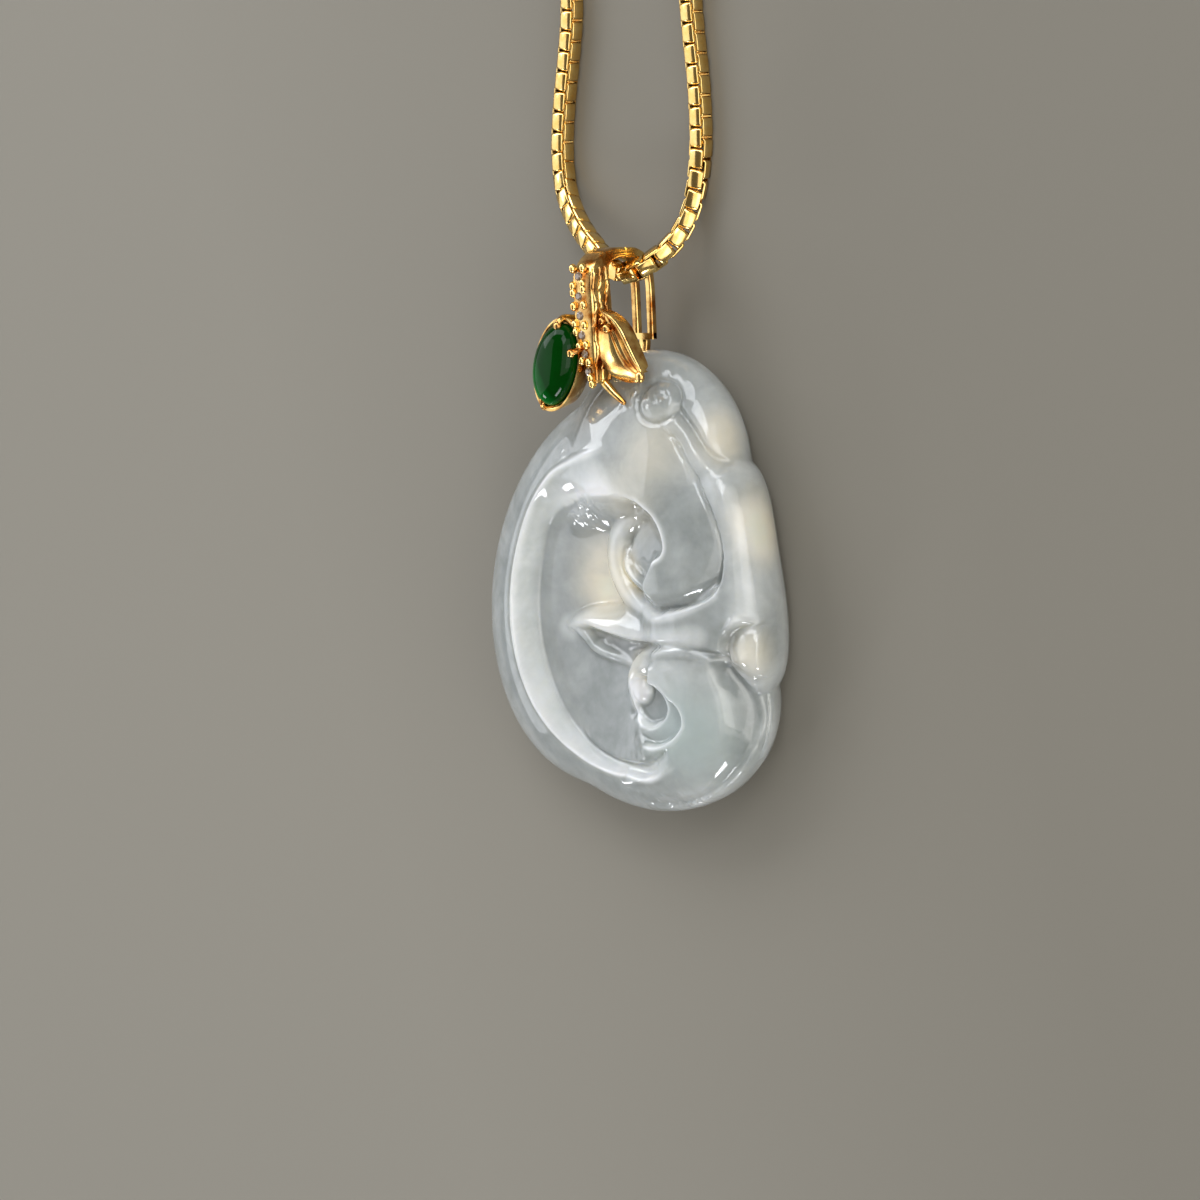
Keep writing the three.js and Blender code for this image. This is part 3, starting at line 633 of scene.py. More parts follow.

# The small stones: diamonds cut and polished as round brilliants, set in the strap's face.
# Each shows a few hard flashes between dark facets, painted as pale and dark patches.
DIAMONDS = [(-0.27, 20.45, 0.3145), (-0.27, 19.2, 0.3145), (-0.25, 17.95, 0.3145),
            (-0.16, 16.7, 0.306), (0.0, 15.5, 0.289), (0.22, 14.4, 0.255)]

# A brilliant's corners lie in rings, each by its share of the radius, height and turn.
BRILLIANT = ((0.55, 0.34, 0), (0.8, 0.2, 22.5), (1.0, 0.04, 0), (1.0, -0.02, 0),
             (0.45, -0.42, 22.5))
CULET = 0.74
DIAMOND_PAINTED_FLASH = "#B79A7C"
DIAMOND_PAINTED_DARK_FACET = "#2C180E"
FACET_PATCH = 0.35
diamond, tree, shader = new_material("diamond, brilliant cut", IOR=2.417, Roughness=0.02,
                                     Transmission_Weight=0.3)
coords = add(tree, "ShaderNodeTexCoord").outputs["Object"]
facets = add(tree, "ShaderNodeTexNoise", {"Vector": coords,
                                          "Scale": 1 / (FACET_PATCH * MM)})
shade = add(tree, "ShaderNodeMix", {"Factor": facets.outputs["Fac"], 6: linear(DIAMOND_PAINTED_FLASH),
                                    7: linear(DIAMOND_PAINTED_DARK_FACET)}, data_type="RGBA")
tree.links.new(shade.outputs[2], shader.inputs["Base Color"])


def brilliant(x, y, r):
    """A round brilliant: eight-sided table, kites and girdle facets above, a cone below."""
    points = [(x + r * g * math.cos(math.radians(45 * j + turn)),
               y + r * g * math.sin(math.radians(45 * j + turn)), STRAP_FACE + h * r)
              for g, h, turn in BRILLIANT for j in range(8)]
    points.append((x, y, STRAP_FACE - CULET * r))
    faces = [range(8)]
    for i, (lower, upper) in enumerate(zip(BRILLIANT[1:], BRILLIANT)):
        a, b = 8 * i, 8 * (i + 1)
        for j in range(8):
            k = (j + 1) % 8
            if lower[2] == upper[2]:
                faces.append((a + j, b + j, b + k, a + k))
            elif lower[2] > upper[2]:
                faces += [(a + j, b + j, a + k), (a + k, b + j, b + k)]
            else:
                faces += [(a + j, b + j, b + k), (a + j, b + k, a + k)]
    last = 8 * len(BRILLIANT)
    faces += [(last - 8 + j, last, last - 8 + (j + 1) % 8) for j in range(8)]
    return np.array(points), faces


for number, (x, y, r) in enumerate(DIAMONDS, 1):
    stone = make_piece(f"diamond_brilliant_{number}", *brilliant(x, y, r), diamond, "diamond", 1)
    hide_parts(f"diamond_{number}")

# The jade: one piece of ice jadeite, ground and carved by hand with small wheels, then
# polished all over. A ruyi head with two curled volutes fills the front, and its stem, with a
# leaf at the top and a round knob, runs down the right side. The back is flat.
CENTRE = (-0.6, 0.0)

# The outline is the outermost of five ovals, each by its middle, its half sizes and its turn.
LOBES = [(-1.7, 0.1, 10.45, 13.55, -0.44), (2.06, 9.05, 6.51, 6.48, 0.08),
         (7.1, -2.11, 3.0, 10.68, -0.16), (1.2, -7.4, 9.25, 6.95, 0.04),
         (7.7, 3.09, 2.84, 9.46, 0.26)]
LOBE_BLEND = 0.25
MISSED = 4  # how fast a lobe that a ray passes by loses its part in the outline
EDGE_Z = 2.8
DOME_H = 4.3
STEM_H = 3.2
BACK_ROUND = 0.2
CELLS = 284
BACK_ROWS = 15
ROUND_ROWS = 6
LINE_STEPS = 8


def line(*points, closed=False):
    """A carved line through the given points."""
    return smooth_line(points, LINE_STEPS, closed)


# Carved lines in plan. Where a line has a third number, that is its height above the table.
RIM_CREST = line((1.1, 9.5), (-0.9, 9.1), (-2.7, 8.5), (-4.7, 7.5), (-6.4, 5.4), (-7.5, 2.8),
                 (-8.15, 0.2), (-8.25, -2.6), (-7.7, -5.4), (-6.4, -8.0), (-4.2, -10.15),
                 (-1.8, -11.3), (0.8, -11.8), (2.6, -11.9), (4.6, -10.9))
HOLLOW = line((3.7, 0.7, 9), (4.1, 1.6, 9), (4.55, 2.3, 9), (5.1, 2.6, 9), (5.4, 3.1, 9),
              (5.35, 3.8, 9), (4.95, 4.7, 9), (4.25, 5.5, 9), (3.3, 6.1, 6.75), (1.9, 6.4, 6.5),
              (0.4, 6.5, 6.2), (-1.2, 6.4, 5.9), (-2.6, 6.1, 5.35), (-4.0, 5.6, 4.8),
              (-5.3, 5.2, 4.5), (-6.35, 4.3, 4.3), (-7.15, 2.6, 4.2), (-7.75, 0.2, 4.15),
              (-7.85, -2.5, 4.15), (-7.3, -5.2, 4.15), (-6.05, -7.7, 4.2),
              (-3.9, -9.7, 4.3), (-1.7, -10.75, 4.5), (0.5, -11.05, 4.8), (2.2, -10.95, 5.1),
              (3.3, -10.4, 5.5), (4.3, -9.75, 5.8), (5.2, -9.0, 9), (5.85, -8.2, 9),
              (5.95, -7.5, 9), (5.6, -6.85, 9), (5.0, -6.35, 9), (4.3, -5.75, 9),
              (3.4, -5.35, 6.1), (2.5, -5.25, 5.8), (1.8, -5.35, 5.5), (1.35, -5.9, 5.25),
              (1.2, -6.7, 5.05), (1.15, -7.4, 4.8), (0.85, -7.75, 4.6), (0.55, -7.3, 4.7),
              (0.4, -6.5, 4.9), (0.5, -5.6, 5.15), (0.9, -4.8, 5.35), (1.7, -4.0, 5.6),
              (2.9, -3.55, 5.85), (4.4, -3.3, 6.1), (6.0, -3.2, 9), (7.2, -2.8, 9),
              (7.6, -1.8, 9), (6.8, -0.9, 9), (5.2, -0.5, 9), (4.2, -0.1, 9), closed=True)
UPPER_CREST = line((4.55, 2.3), (5.1, 2.6), (5.4, 3.1), (5.35, 3.8), (4.95, 4.7),
                   (4.25, 5.5), (3.3, 6.1), (1.9, 6.4), (0.4, 6.5), (-1.2, 6.4), (-2.6, 6.1))
HEAD_SIDE = line((1.1, 9.5), (2.0, 8.0), (3.3, 6.1))
COVE_STEP = line((-4.9, 5.2), (-3.6, 5.0), (-2.3, 4.6), (-1.2, 4.2), (-0.6, 4.1))
LIP = line((1.7, 4.75, 5.0), (1.0, 4.5, 5.15), (0.35, 3.9, 5.25), (0.0, 3.1, 5.3),
           (-0.05, 2.0, 5.3), (0.35, 1.0, 5.35), (1.1, 0.0, 5.4), (2.3, -0.75, 5.5),
           (3.7, -1.15, 5.6), (5.4, -1.1, 5.75), (7.1, -0.6, 5.9), (8.6, 0.2, 6.0))
CURL = line((0.9, 2.8, 4.95), (1.05, 1.95, 5.4), (1.7, 1.3, 5.7), (2.6, 0.85, 6.0),
            (3.5, 0.65, 6.3), (4.6, 0.8, 6.6))
TONGUE = line((-5.4, -2.5, 4.1), (-4.6, -2.25, 4.45), (-3.3, -2.1, 4.7), (-2.0, -2.3, 5.0),
              (0.1, -2.6, 5.4), (2.0, -2.8, 5.7), (3.7, -2.85, 5.9), (6.1, -2.6, 6.15),
              (7.4, -2.4, 6.2))
TONGUE_EDGE = line((-4.9, -2.4, 4.3), (-4.0, -2.95, 4.4), (-3.2, -3.65, 4.45),
                   (-2.0, -4.1, 4.5), (-0.5, -4.4, 4.5), (0.5, -4.7, 4.6))
NECK_GROOVE = line((-0.3, -3.6), (1.5, -3.3), (3.7, -3.1), (5.6, -3.0), (7.6, -3.3),
                   (9.0, -3.8))
HEAD_GROOVE = line((5.06, 10.77), (6.1, 9.8), (7.0, 8.3), (7.75, 6.9), (8.45, 5.5),
                   (8.95, 4.0), (9.15, 2.6), (8.95, 1.2), (8.2, 0.2), (6.9, -0.4), (5.6, -0.7),
                   (4.4, -0.8), (3.4, -0.65), (2.3, -0.25), (1.5, 0.5), (0.95, 1.6),
                   (0.85, 2.5), (1.05, 3.4), (1.6, 4.15), (2.7, 4.6))
TURN = 0.36  # the place along that groove where it turns from the stem to the lip
CHANNEL = line((8.3, -3.7), (8.75, -4.6), (9.35, -5.7), (9.7, -6.9), (9.65, -8.3), (9.2, -9.6),
               (8.4, -10.9), (7.1, -12.0), (5.4, -12.9))
LOW_EYE = line((3.5, -5.5), (4.4, -5.8), (5.0, -6.4), (5.65, -6.9), (5.95, -7.6), (5.8, -8.3),
               (5.0, -9.1), (4.0, -9.6), (2.9, -9.7), (2.0, -9.1), (1.35, -8.3), (0.9, -7.4),
               (0.85, -6.4), (1.15, -5.6), (1.9, -5.15), (2.8, -5.2), closed=True)
LOW_CURL = line((3.4, -5.7, 5.9), (4.0, -6.25, 5.75), (4.25, -7.0, 5.55), (4.0, -7.65, 5.35),
                (3.4, -8.2, 5.2), (2.5, -8.45, 5.1), (1.75, -8.15, 5.1), (1.2, -7.5, 5.1),
                (0.95, -6.8, 5.1))
LOW_LINES = ((line((3.2, -4.35), (4.4, -4.0), (5.8, -3.85), (7.6, -3.95)), 0.22),
             (line((3.5, -4.6), (4.6, -4.35), (5.9, -4.3)), 0.13))
RIM_EDGE = line((0.9, -13.9), (2.6, -14.0), (4.4, -13.75), (6.2, -13.1), (7.8, -12.1),
                (9.0, -10.9), (9.7, -9.6))
LEAF_CREASE = line((5.9, 11.7), (6.8, 10.6), (7.45, 9.65), (8.05, 8.8), (8.7, 8.3))
HANDLE = line((7.2, 9.0), (8.6, 7.2), (9.6, 5.0), (10.15, 2.6), (10.4, 0.2), (10.3, -1.4))
SMALL_LEAF = line((9.9, -1.4), (9.2, -2.4), (9.0, -3.2), (9.3, -4.0))

# The moulding lies inside the rim's crest and the right edge of the hollow.
RIGHT_EDGE_FROM = 26
RIGHT_EDGE_TO = 8
MOULDING = np.vstack([RIM_CREST[:, :2], HOLLOW[RIGHT_EDGE_FROM * LINE_STEPS:, :2],
                      HOLLOW[:RIGHT_EDGE_TO * LINE_STEPS, :2], RIM_CREST[:1, :2]])

# The round forms, each by its middle and radius, and the cuts' depths in millimetres.
BEAD = (4.35, 12.35, 1.25)
BEAD_HIGH = 0.25
KNOB = (10.35, -3.3, 1.75)
KNOB_Z = 3.3
KNOB_HIGH = 1.75
KNOB_SEAT = 3.6
PEARL = (1.6, -6.15, 0.8)
PEARL_Z = 4.75
PEARL_HIGH = 0.7
GROOVE_DEEP = 0.22
GROOVE_SHARP = 0.15
GROOVE_SLOPE = 0.7
LIP_GROOVE_DEEP = 0.4
HEAD_ROLL = (0.25, 1.15)
HEAD_ROLL_WIDE = 1.3
MOULDING_SHARES = (0, 0.2, 0.5, 0.75, 1)
MOULDING_DROPS = (0, 0.3, 0.7, 0.9, 1)
FLOOR_Z = 3.75
FLOOR_BEND = 0.045
FLOOR_MIDDLE = (-3.0, -0.5)
FLOOR_EASES = 7.8
EYE_Z = 4.85
EYE_RISE = 1.35
POCKET_Z = 4.75
POCKET_STEP_Z = 5.5
POCKET_WALL = 0.32
NECK_PLACES = (0, 0.2, 0.45, 0.7, 1)
NECK_DEPTHS = (0, 0.7, 0.45, 0.25, 0.7)
CHANNEL_DEEP = 1.2
CHANNEL_HALF = (0.3, 0.8)
CREASE_DEEP = 0.45
HANDLE_HIGH = 0.2
SMALL_LEAF_HIGH = 0.35

# How fast each ridge falls away beside its line: on the left and on the right of it, or along
# it for the tongue's left side.
LIP_FALL = (1.6, 0.5)
CURL_FALL = (4.0, 1.8)
TONGUE_FALL_LEFT = (1.3, 0.25)
TONGUE_FALL_RIGHT = 5.0
TONGUE_EDGE_FALL = 2.5
LOW_CURL_FALL = 6.0

# The fine raised arrises, each by its height and its half width.
CREST_ARRIS = (0.12, 0.15)
RIM_ARRIS = (0.15, 0.25)
TONGUE_ARRIS = (0.08, 0.14)
EYE_ARRIS = (0.12, 0.15)

# The wheel's marks: left unpolished in five places, each by its middle and half sizes.
WHEEL_MARKS = ((-2.4, 5.2, 2.0, 0.8), (-2.4, -3.1, 1.6, 0.6), (2.4, -10.2, 1.2, 0.7),
               (5.0, -13.3, 3.5, 0.6), (3.6, 13.0, 1.6, 1.2))
WHEEL_DEEP = 0.04
POLISH_PASSES = 3
POLISH_EDGE = 0.97

# The hollow in the back for the bail's foot: its half width, and its depth at each y.
NOTCH_HALF = 2.6
NOTCH = ((10.3, 0.0), (12.7, 2.68), (17.5, 2.68))

# How white the stone is drawn in each place, from 0, grey and clear, to 1, white. This is partly
# its own milkiness, and partly painted light: glow on the walls, bands and stem, highlights on
# ridges and crests, and shade in the hollows and the eye.
BODY_MILK = 0.2
LOW_DOME_MILK = 0.4
LEAF_MILK = 0.2
HOLLOW_PAINTED_SHADE = 0.06
WALL_PAINTED_GLOW = 0.42
EYE_PAINTED_SHADE = 0.08
FLANK_MILK = 0.22
RIDGE_PAINTED_HIGHLIGHT = 0.55
HANDLE_PAINTED_GLOW = 0.5
BACK_MILK = 0.4
BAND_SHARES = (0, 0.15, 0.28, 0.42, 0.58, 0.75, 1)
BAND_PAINTED_LIGHT = (1.0, 0.42, 0.4, 0.8, 0.5, 0.6, 0.35)
BAND_GLOW_BELOW = 0.55
TOP_BAND_SHARES = (0, 0.15, 0.5, 0.85)
TOP_BAND_PAINTED_LIGHT = (0.9, 0.45, 0.6, 1.0)


def near(x, y, path):
    """Distance to a line, place along it from 0 to 1, and side (+1 left of its direction)."""
    best = np.full(x.shape, 1e9)
    along, side = np.zeros(x.shape), np.ones(x.shape)
    for i, ((ax, ay), (bx, by)) in enumerate(zip(path[:, :2], path[1:, :2])):
        ex, ey = bx - ax, by - ay
        size = ex * ex + ey * ey
        if size < 1e-12:
            continue
        k = np.clip(((x - ax) * ex + (y - ay) * ey) / size, 0, 1)
        dx, dy = x - ax - k * ex, y - ay - k * ey
        d = dx * dx + dy * dy
        closer = d < best - 1e-9
        best = np.where(closer, d, best)
        along = np.where(closer, (i + k) / (len(path) - 1), along)
        side = np.where(closer, np.where(ex * (y - ay) - ey * (x - ax) >= 0, 1.0, -1.0), side)
    return np.sqrt(best), along, side


def inside(x, y, path):
    """Whether each point lies inside a closed line."""
    found = np.zeros(x.shape, bool)
    for (ax, ay), (bx, by) in zip(path[:, :2], path[1:, :2]):
        if ay != by:
            found ^= ((ay > y) != (by > y)) & (x < (bx - ax) * (y - ay) / (by - ay) + ax)
    return found


def level_of(path, along):
    """The line's own height at a place along it."""
    return np.interp(along * (len(path) - 1), np.arange(len(path)), path[:, 2])


def fade(low, high, value):
    """A soft step: 0 where value is at low, and 1 where it is at high."""
    t = np.clip((value - low) / (high - low), 0, 1)
    return t * t * (3 - 2 * t)


def mix(a, b, t):
    """From a, where t is 0, to b, where t is 1."""
    return a + (b - a) * t


def higher(a, b, round_by):
    """The higher of two surfaces, with their meeting line rounded."""
    h = np.maximum(round_by - np.abs(a - b), 0) / round_by
    return np.maximum(a, b) + h * h * round_by / 4


def rut(distance, width):
    """A rounded groove's or ridge's depth from 1 on its line to 0 away from it."""
    return np.exp(-(distance / width) ** 2)


def arris(distance, high, wide):
    """The rise of a fine ridge that the wheel leaves beside its cut."""
    return high * rut(distance, wide)


def outline(phi):
    """Distance from the centre to the edge of the jade in direction phi."""
    radii = []
    for cx, cy, a, b, turn in LOBES:
        ox, oy, c, s = CENTRE[0] - cx, CENTRE[1] - cy, math.cos(turn), math.sin(turn)
        ux, uy = (c * ox + s * oy) / a, (-s * ox + c * oy) / b
        dx = (c * np.cos(phi) + s * np.sin(phi)) / a
        dy = (-s * np.cos(phi) + c * np.sin(phi)) / b
        aa, bb, cc = dx * dx + dy * dy, ux * dx + uy * dy, ux * ux + uy * uy - 1
        root = bb * bb - aa * cc
        radii.append((-bb + np.where(root > 0, 1, -MISSED) * np.sqrt(np.abs(root))) / aa)
    radii = np.stack(radii)
    top = radii.max(0)
    return top + LOBE_BLEND * np.log(np.exp((radii - top) / LOBE_BLEND).sum(0))


def carved_front(x, y, s):
    """Height of the front and how white it is drawn, where s is the share of the way to the edge.

    Each fade on x or y names the places in millimetres between which a form begins or ends."""
    dome = EDGE_Z + DOME_H * np.sqrt(np.maximum(1 - s ** 2.6, 0))
    stem = EDGE_Z + STEM_H * np.sqrt(np.maximum(1 - s ** 6, 0))
    z = mix(dome, stem, fade(6.5, 9.0, x))

    # The groove round the head, from the bead down beside the stem and round into the lip:
    # sharp on the head's side, with a slope on the stem's side.
    groove_d, groove_t, groove_side = near(x, y, HEAD_GROOVE)
    beside_stem = fade(TURN, TURN - 0.12, groove_t) * fade(0.0, 0.05, groove_t)
    groove_wide = np.where(groove_side > 0, GROOVE_SLOPE, GROOVE_SHARP)
    z -= GROOVE_DEEP * rut(groove_d, groove_wide) * beside_stem
    whole = z.copy()

    # The head rolls over toward the groove, most of all under the lip.
    roll = mix(*HEAD_ROLL, fade(TURN - 0.12, TURN + 0.1, groove_t)) * fade(1.0, 0.93, groove_t)
    z -= roll * np.clip(1 - groove_d / HEAD_ROLL_WIDE, 0, 1) ** 2 * (groove_side < 0)
    rim_d, rim_t, _ = near(x, y, RIM_CREST)
    edge_d, edge_t, _ = near(x, y, HOLLOW)
    edge_z = np.minimum(level_of(HOLLOW, edge_t), z)
    hollow = inside(x, y, HOLLOW)
    low_edge = fade(-2.4, -3.2, y) * fade(4.6, 3.0, x) * ~hollow * (x > 0)
    z = mix(z, np.minimum(z, edge_z + 0.5 * edge_d), low_edge)

    # The moulding from the rim's crest down to the hollow: gentle at the top, then a cove.
    moulding = inside(x, y, MOULDING) & ~hollow
    share = rim_d / (rim_d + edge_d + 1e-9)
    soft = fade(4.0, 6.5, y)
    stepped = np.interp(share, MOULDING_SHARES, MOULDING_DROPS)
    ending = np.where(y < -8, fade(4.6, 2.8, x), 1.0)
    drop = mix(stepped, 1 - (1 - share) ** 0.95, soft)
    head_d = near(x, y, HEAD_SIDE)[0]
    drop *= fade(0.0, 2.2, head_d) * ending
    z = np.where(moulding, np.minimum(z, mix(z, edge_z, drop)), z)

    # The hollow itself, with the eye of the upper volute and the valley under its lip.
    lip_d, lip_t, lip_side = near(x, y, LIP)
    across = (x - FLOOR_MIDDLE[0]) ** 2
    across = np.where(x < FLOOR_MIDDLE[0], across / (1 + across / FLOOR_EASES), across)
    floor = FLOOR_Z + FLOOR_BEND * (across + 0.25 * (y - FLOOR_MIDDLE[1]) ** 2)
    eye_share = groove_d / (groove_d + edge_d + 1e-9)
    eye = EYE_Z + EYE_RISE * eye_share ** 1.3 * fade(-0.5, 0.6, lip_side * lip_d)
    floor = np.where(y > -1.5, mix(floor, eye, fade(-0.2, 0.5, lip_side * lip_d)), floor)
    valley = fade(0.0, 7.2, x) * fade(0.4, -0.5, y) * fade(-3.4, -2.9, y)
    floor = mix(np.minimum(floor, 6.3), whole - 0.1, valley)
    reach = mix(0.55, 1.9, fade(4.4, 5.6, y) * fade(2.6, 0.4, x) * fade(-6.0, -4.0, x))
    reach = mix(reach, 2.6, fade(4.6, 6.0, x) * fade(-0.2, -0.8, y) * fade(-3.6, -3.0, y))
    outer = fade(-1.0, -3.0, x - 0.35 * (y + 4.0))
    cove = mix(1 - (1 - np.clip(edge_d / reach, 0, 1)) ** 2.4, fade(0.0, 2.6, edge_d), outer)
    z = np.where(hollow, np.minimum(mix(edge_z, floor, cove), z), z)
    d, t, _ = near(x, y, COVE_STEP)
    z += np.where(hollow, 0.16 * rut(d, 0.28) * np.sin(math.pi * t) ** 0.5, 0)

    # The tongue between the two hollows.
    tongue_d, t, side = near(x, y, TONGUE)
    fall = mix(*TONGUE_FALL_LEFT, np.minimum(1, 2 * t))
    fall = np.where(side > 0, fall, TONGUE_FALL_RIGHT)
    tongue = np.minimum(level_of(TONGUE, t) - fall * tongue_d ** 2, whole - 0.2)
    z = np.where(hollow, higher(z, tongue, 0.12), z)
    d, t, _ = near(x, y, TONGUE_EDGE)
    tongue_edge = level_of(TONGUE_EDGE, t) - TONGUE_EDGE_FALL * d ** 2
    z = np.where(hollow, higher(z, tongue_edge, 0.12), z)

    # The upper volute: a broad round lip, a fine groove inside it, and the curl of its eye.
    fall = np.where(lip_side > 0, *LIP_FALL)
    lip = np.minimum(level_of(LIP, lip_t) - fall * lip_d ** 2, whole - 0.1)
    z = np.where(lip_d < 1.5, higher(z, lip, 0.14), z)
    under_lip = fade(TURN - 0.1, TURN + 0.1, groove_t) * fade(1, 0.93, groove_t)
    z -= LIP_GROOVE_DEEP * rut(groove_d, 0.14) * under_lip
    d, t, side = near(x, y, CURL)
    curl = level_of(CURL, t) - np.where(side > 0, *CURL_FALL) * d ** 2
    z = np.where(d < 1.0, higher(z, np.minimum(curl, whole), 0.1), z)

    # The lower volute's eye: a crest, a step, an inner line, and a pearl beside its pocket.
    low_eye = inside(x, y, LOW_EYE)
    eye_d = near(x, y, LOW_EYE)[0]
    curl_d, curl_t, curl_side = near(x, y, LOW_CURL)
    pocket = mix(POCKET_Z, POCKET_STEP_Z, fade(-0.1, 0.1, curl_side * curl_d))
    cut = mix(z, np.minimum(z, pocket), np.clip(eye_d / POCKET_WALL, 0, 1) ** 0.8)
    ridge = level_of(LOW_CURL, curl_t) - LOW_CURL_FALL * curl_d ** 2
    cut = np.where(curl_d < 0.5, higher(cut, ridge, 0.08), cut)
    pearl_d = np.hypot(x - PEARL[0], 0.85 * (y - PEARL[1]))
    pearl = PEARL_Z + PEARL_HIGH * np.sqrt(np.maximum(1 - (pearl_d / PEARL[2]) ** 2, 0))
    cut = np.where(pearl_d < PEARL[2], higher(cut, pearl, 0.1), cut)
    z = np.where(low_eye, cut, z)
    for path, depth in LOW_LINES:
        d, t, _ = near(x, y, path)
        z -= depth * rut(d, 0.13) * np.sin(math.pi * np.clip(t, 0.02, 0.98)) ** 0.5

    # Painted light and shade: a white glow painted at the crests that fades down the wall, and
    # painted shade that makes the hollows greyer.
    wall = fade(1.8, 0.0, edge_d) * outer
    milk_and_painted_light = mix(BODY_MILK, LOW_DOME_MILK, fade(-3.0, -5.0, y))
    milk_and_painted_light += LEAF_MILK * fade(5.5, 8.0, x) * fade(5.0, 8.0, y)
    floor_painted_shade = mix(BODY_MILK, HOLLOW_PAINTED_SHADE, fade(1.0, -4.0, y))
    milk_and_painted_light = np.where(hollow, mix(floor_painted_shade, WALL_PAINTED_GLOW, wall), milk_and_painted_light)
    # A glow is painted along the moulding, white at the rim's crest as a highlight, and whiter
    # below.
    band = np.interp(share, BAND_SHARES, BAND_PAINTED_LIGHT)
    band = mix(band, 1.0, BAND_GLOW_BELOW * fade(1.0, -7.0, y))
    band = mix(band, np.interp(share, TOP_BAND_SHARES, TOP_BAND_PAINTED_LIGHT), soft)
    band *= fade(0.0, 2.2, head_d) * ending
    milk_and_painted_light = np.where(moulding, np.maximum(milk_and_painted_light, band), milk_and_painted_light)
    # A highlight is painted white along the rim's crest, fading onto the flank.
    flank = (~hollow & ~moulding & (s > 0.6)) * fade(6.0, 2.0, x)
    milk_and_painted_light = mix(milk_and_painted_light, mix(1.0, FLANK_MILK, fade(0.0, 0.25, rim_d)), flank * fade(0, 0.1, rim_t))
    # The eye is painted greyer, as shade, and the lip and tongue whiter, as highlight.
    ridge_d = np.minimum(tongue_d * 0.8, lip_d * np.where(lip_side > 0, 1.0, 1.8))
    in_eye = fade(0.1, 0.7, lip_side * lip_d)
    milk_and_painted_light = np.where(hollow & (y > -0.8), mix(milk_and_painted_light, EYE_PAINTED_SHADE, in_eye), milk_and_painted_light)
    milk_and_painted_light = np.maximum(milk_and_painted_light, RIDGE_PAINTED_HIGHLIGHT * fade(1.1, 0.2, ridge_d))

    # The wheel leaves a fine raised arris along each crest, which catches the light.
    d, t, _ = near(x, y, UPPER_CREST)
    z += arris(d, *CREST_ARRIS) * fade(1, 0.85, t)
    # A highlight is painted white along the upper crest.
    milk_and_painted_light = mix(milk_and_painted_light, 1.0, rut(d, 0.16) * fade(1, 0.85, t))
    z += arris(rim_d, *RIM_ARRIS) * fade(0, 0.08, rim_t) * fade(1, 0.97, rim_t)
    z += arris(tongue_d, *TONGUE_ARRIS) * hollow
    z += arris(eye_d, *EYE_ARRIS) * (x > 2.9)
    # Highlights are painted white along the lower eye's lines and round the pearl.
    painted_line_highlights = np.maximum(rut(eye_d, 0.16) * fade(2.4, 2.9, x), rut(curl_d, 0.15))
    painted_line_highlights = np.maximum(painted_line_highlights, fade(1.1, 0.9, pearl_d / PEARL[2]))
    milk_and_painted_light = mix(milk_and_painted_light, 1.0, painted_line_highlights * (low_eye | (eye_d < 0.2)))
    wheel = np.sin(9.1 * x + 3.3 * y) + np.sin(4.2 * x - 8.7 * y + 1) + np.sin(13 * x + 11 * y)
    for mx, my, wide, high in WHEEL_MARKS:
        z += WHEEL_DEEP * wheel * rut(np.hypot((x - mx) / wide, (y - my) / high), 1)

    # The groove at the neck, and the channel between the head and the stem's lower end.
    d, t, _ = near(x, y, NECK_GROOVE)
    z -= rut(d, 0.22) * np.interp(t, NECK_PLACES, NECK_DEPTHS)
    d, t, _ = near(x, y, CHANNEL)
    wide = mix(*CHANNEL_HALF, np.sin(math.pi * t))
    z -= CHANNEL_DEEP * fade(0, 0.12, t) * (1 - fade(0.4, 0.9, t)) * rut(d, wide)
    # The channel is painted greyer, as shade.
    milk_and_painted_light = mix(milk_and_painted_light, 0.0, 0.8 * rut(d, 1.2 * wide) * (1 - fade(0.6, 1, t)))

    # The stem's lower end wraps round the lower dome as a thin ground edge.
    d, t, side = near(x, y, RIM_EDGE)
    wrap = 0.3 * rut(d, 0.22) - 0.2 * rut(d - 0.5, 0.2) * (side > 0)
    z += wrap * np.sin(math.pi * np.clip(t, 0, 1)) ** 0.5

    # The knob on the stem, and the small leaf in front of it.
    d = np.hypot(x - KNOB[0], 0.92 * (y - KNOB[1]))
    z -= np.where(d < KNOB[2] + 0.5, 0.15 * rut(d - KNOB[2], 0.25), 0)
    knob = KNOB_Z + KNOB_HIGH * np.sqrt(np.maximum(1 - (d / KNOB[2]) ** 2, 0))
    lowered = mix(z, np.minimum(z, KNOB_SEAT), fade(KNOB[2], KNOB[2] - 0.6, d))
    z = np.where(d < KNOB[2], higher(lowered, knob, 0.2), z)
    d = near(x, y, SMALL_LEAF)[0]
    z += SMALL_LEAF_HIGH * rut(d, 0.25)

    # The bead at the top of the long groove, the crease of the big leaf, and the stem's ridge.
    d = np.hypot(0.9 * (x - BEAD[0]), y - BEAD[1])
    z -= 0.28 * rut(d - BEAD[2], 0.16)
    z += BEAD_HIGH * np.sqrt(np.maximum(1 - (d / BEAD[2]) ** 2, 0))
    d = near(x, y, LEAF_CREASE)[0]
    z -= CREASE_DEEP * rut(d, 0.3)
    d = near(x, y, HANDLE)[0]
    z += HANDLE_HIGH * rut(d, 1.1)
    # A glow is painted along the stem's ridge and on its right flank.
    milk_and_painted_light = np.maximum(milk_and_painted_light, HANDLE_PAINTED_GLOW * rut(d, 1.2))
    milk_and_painted_light = np.maximum(milk_and_painted_light, fade(8.8, 10.6, x) * rut(y - 4.4, 2.4))
    return np.maximum(z, mix(EDGE_Z, 2.0, fade(1.0, 0.8, s))), milk_and_painted_light


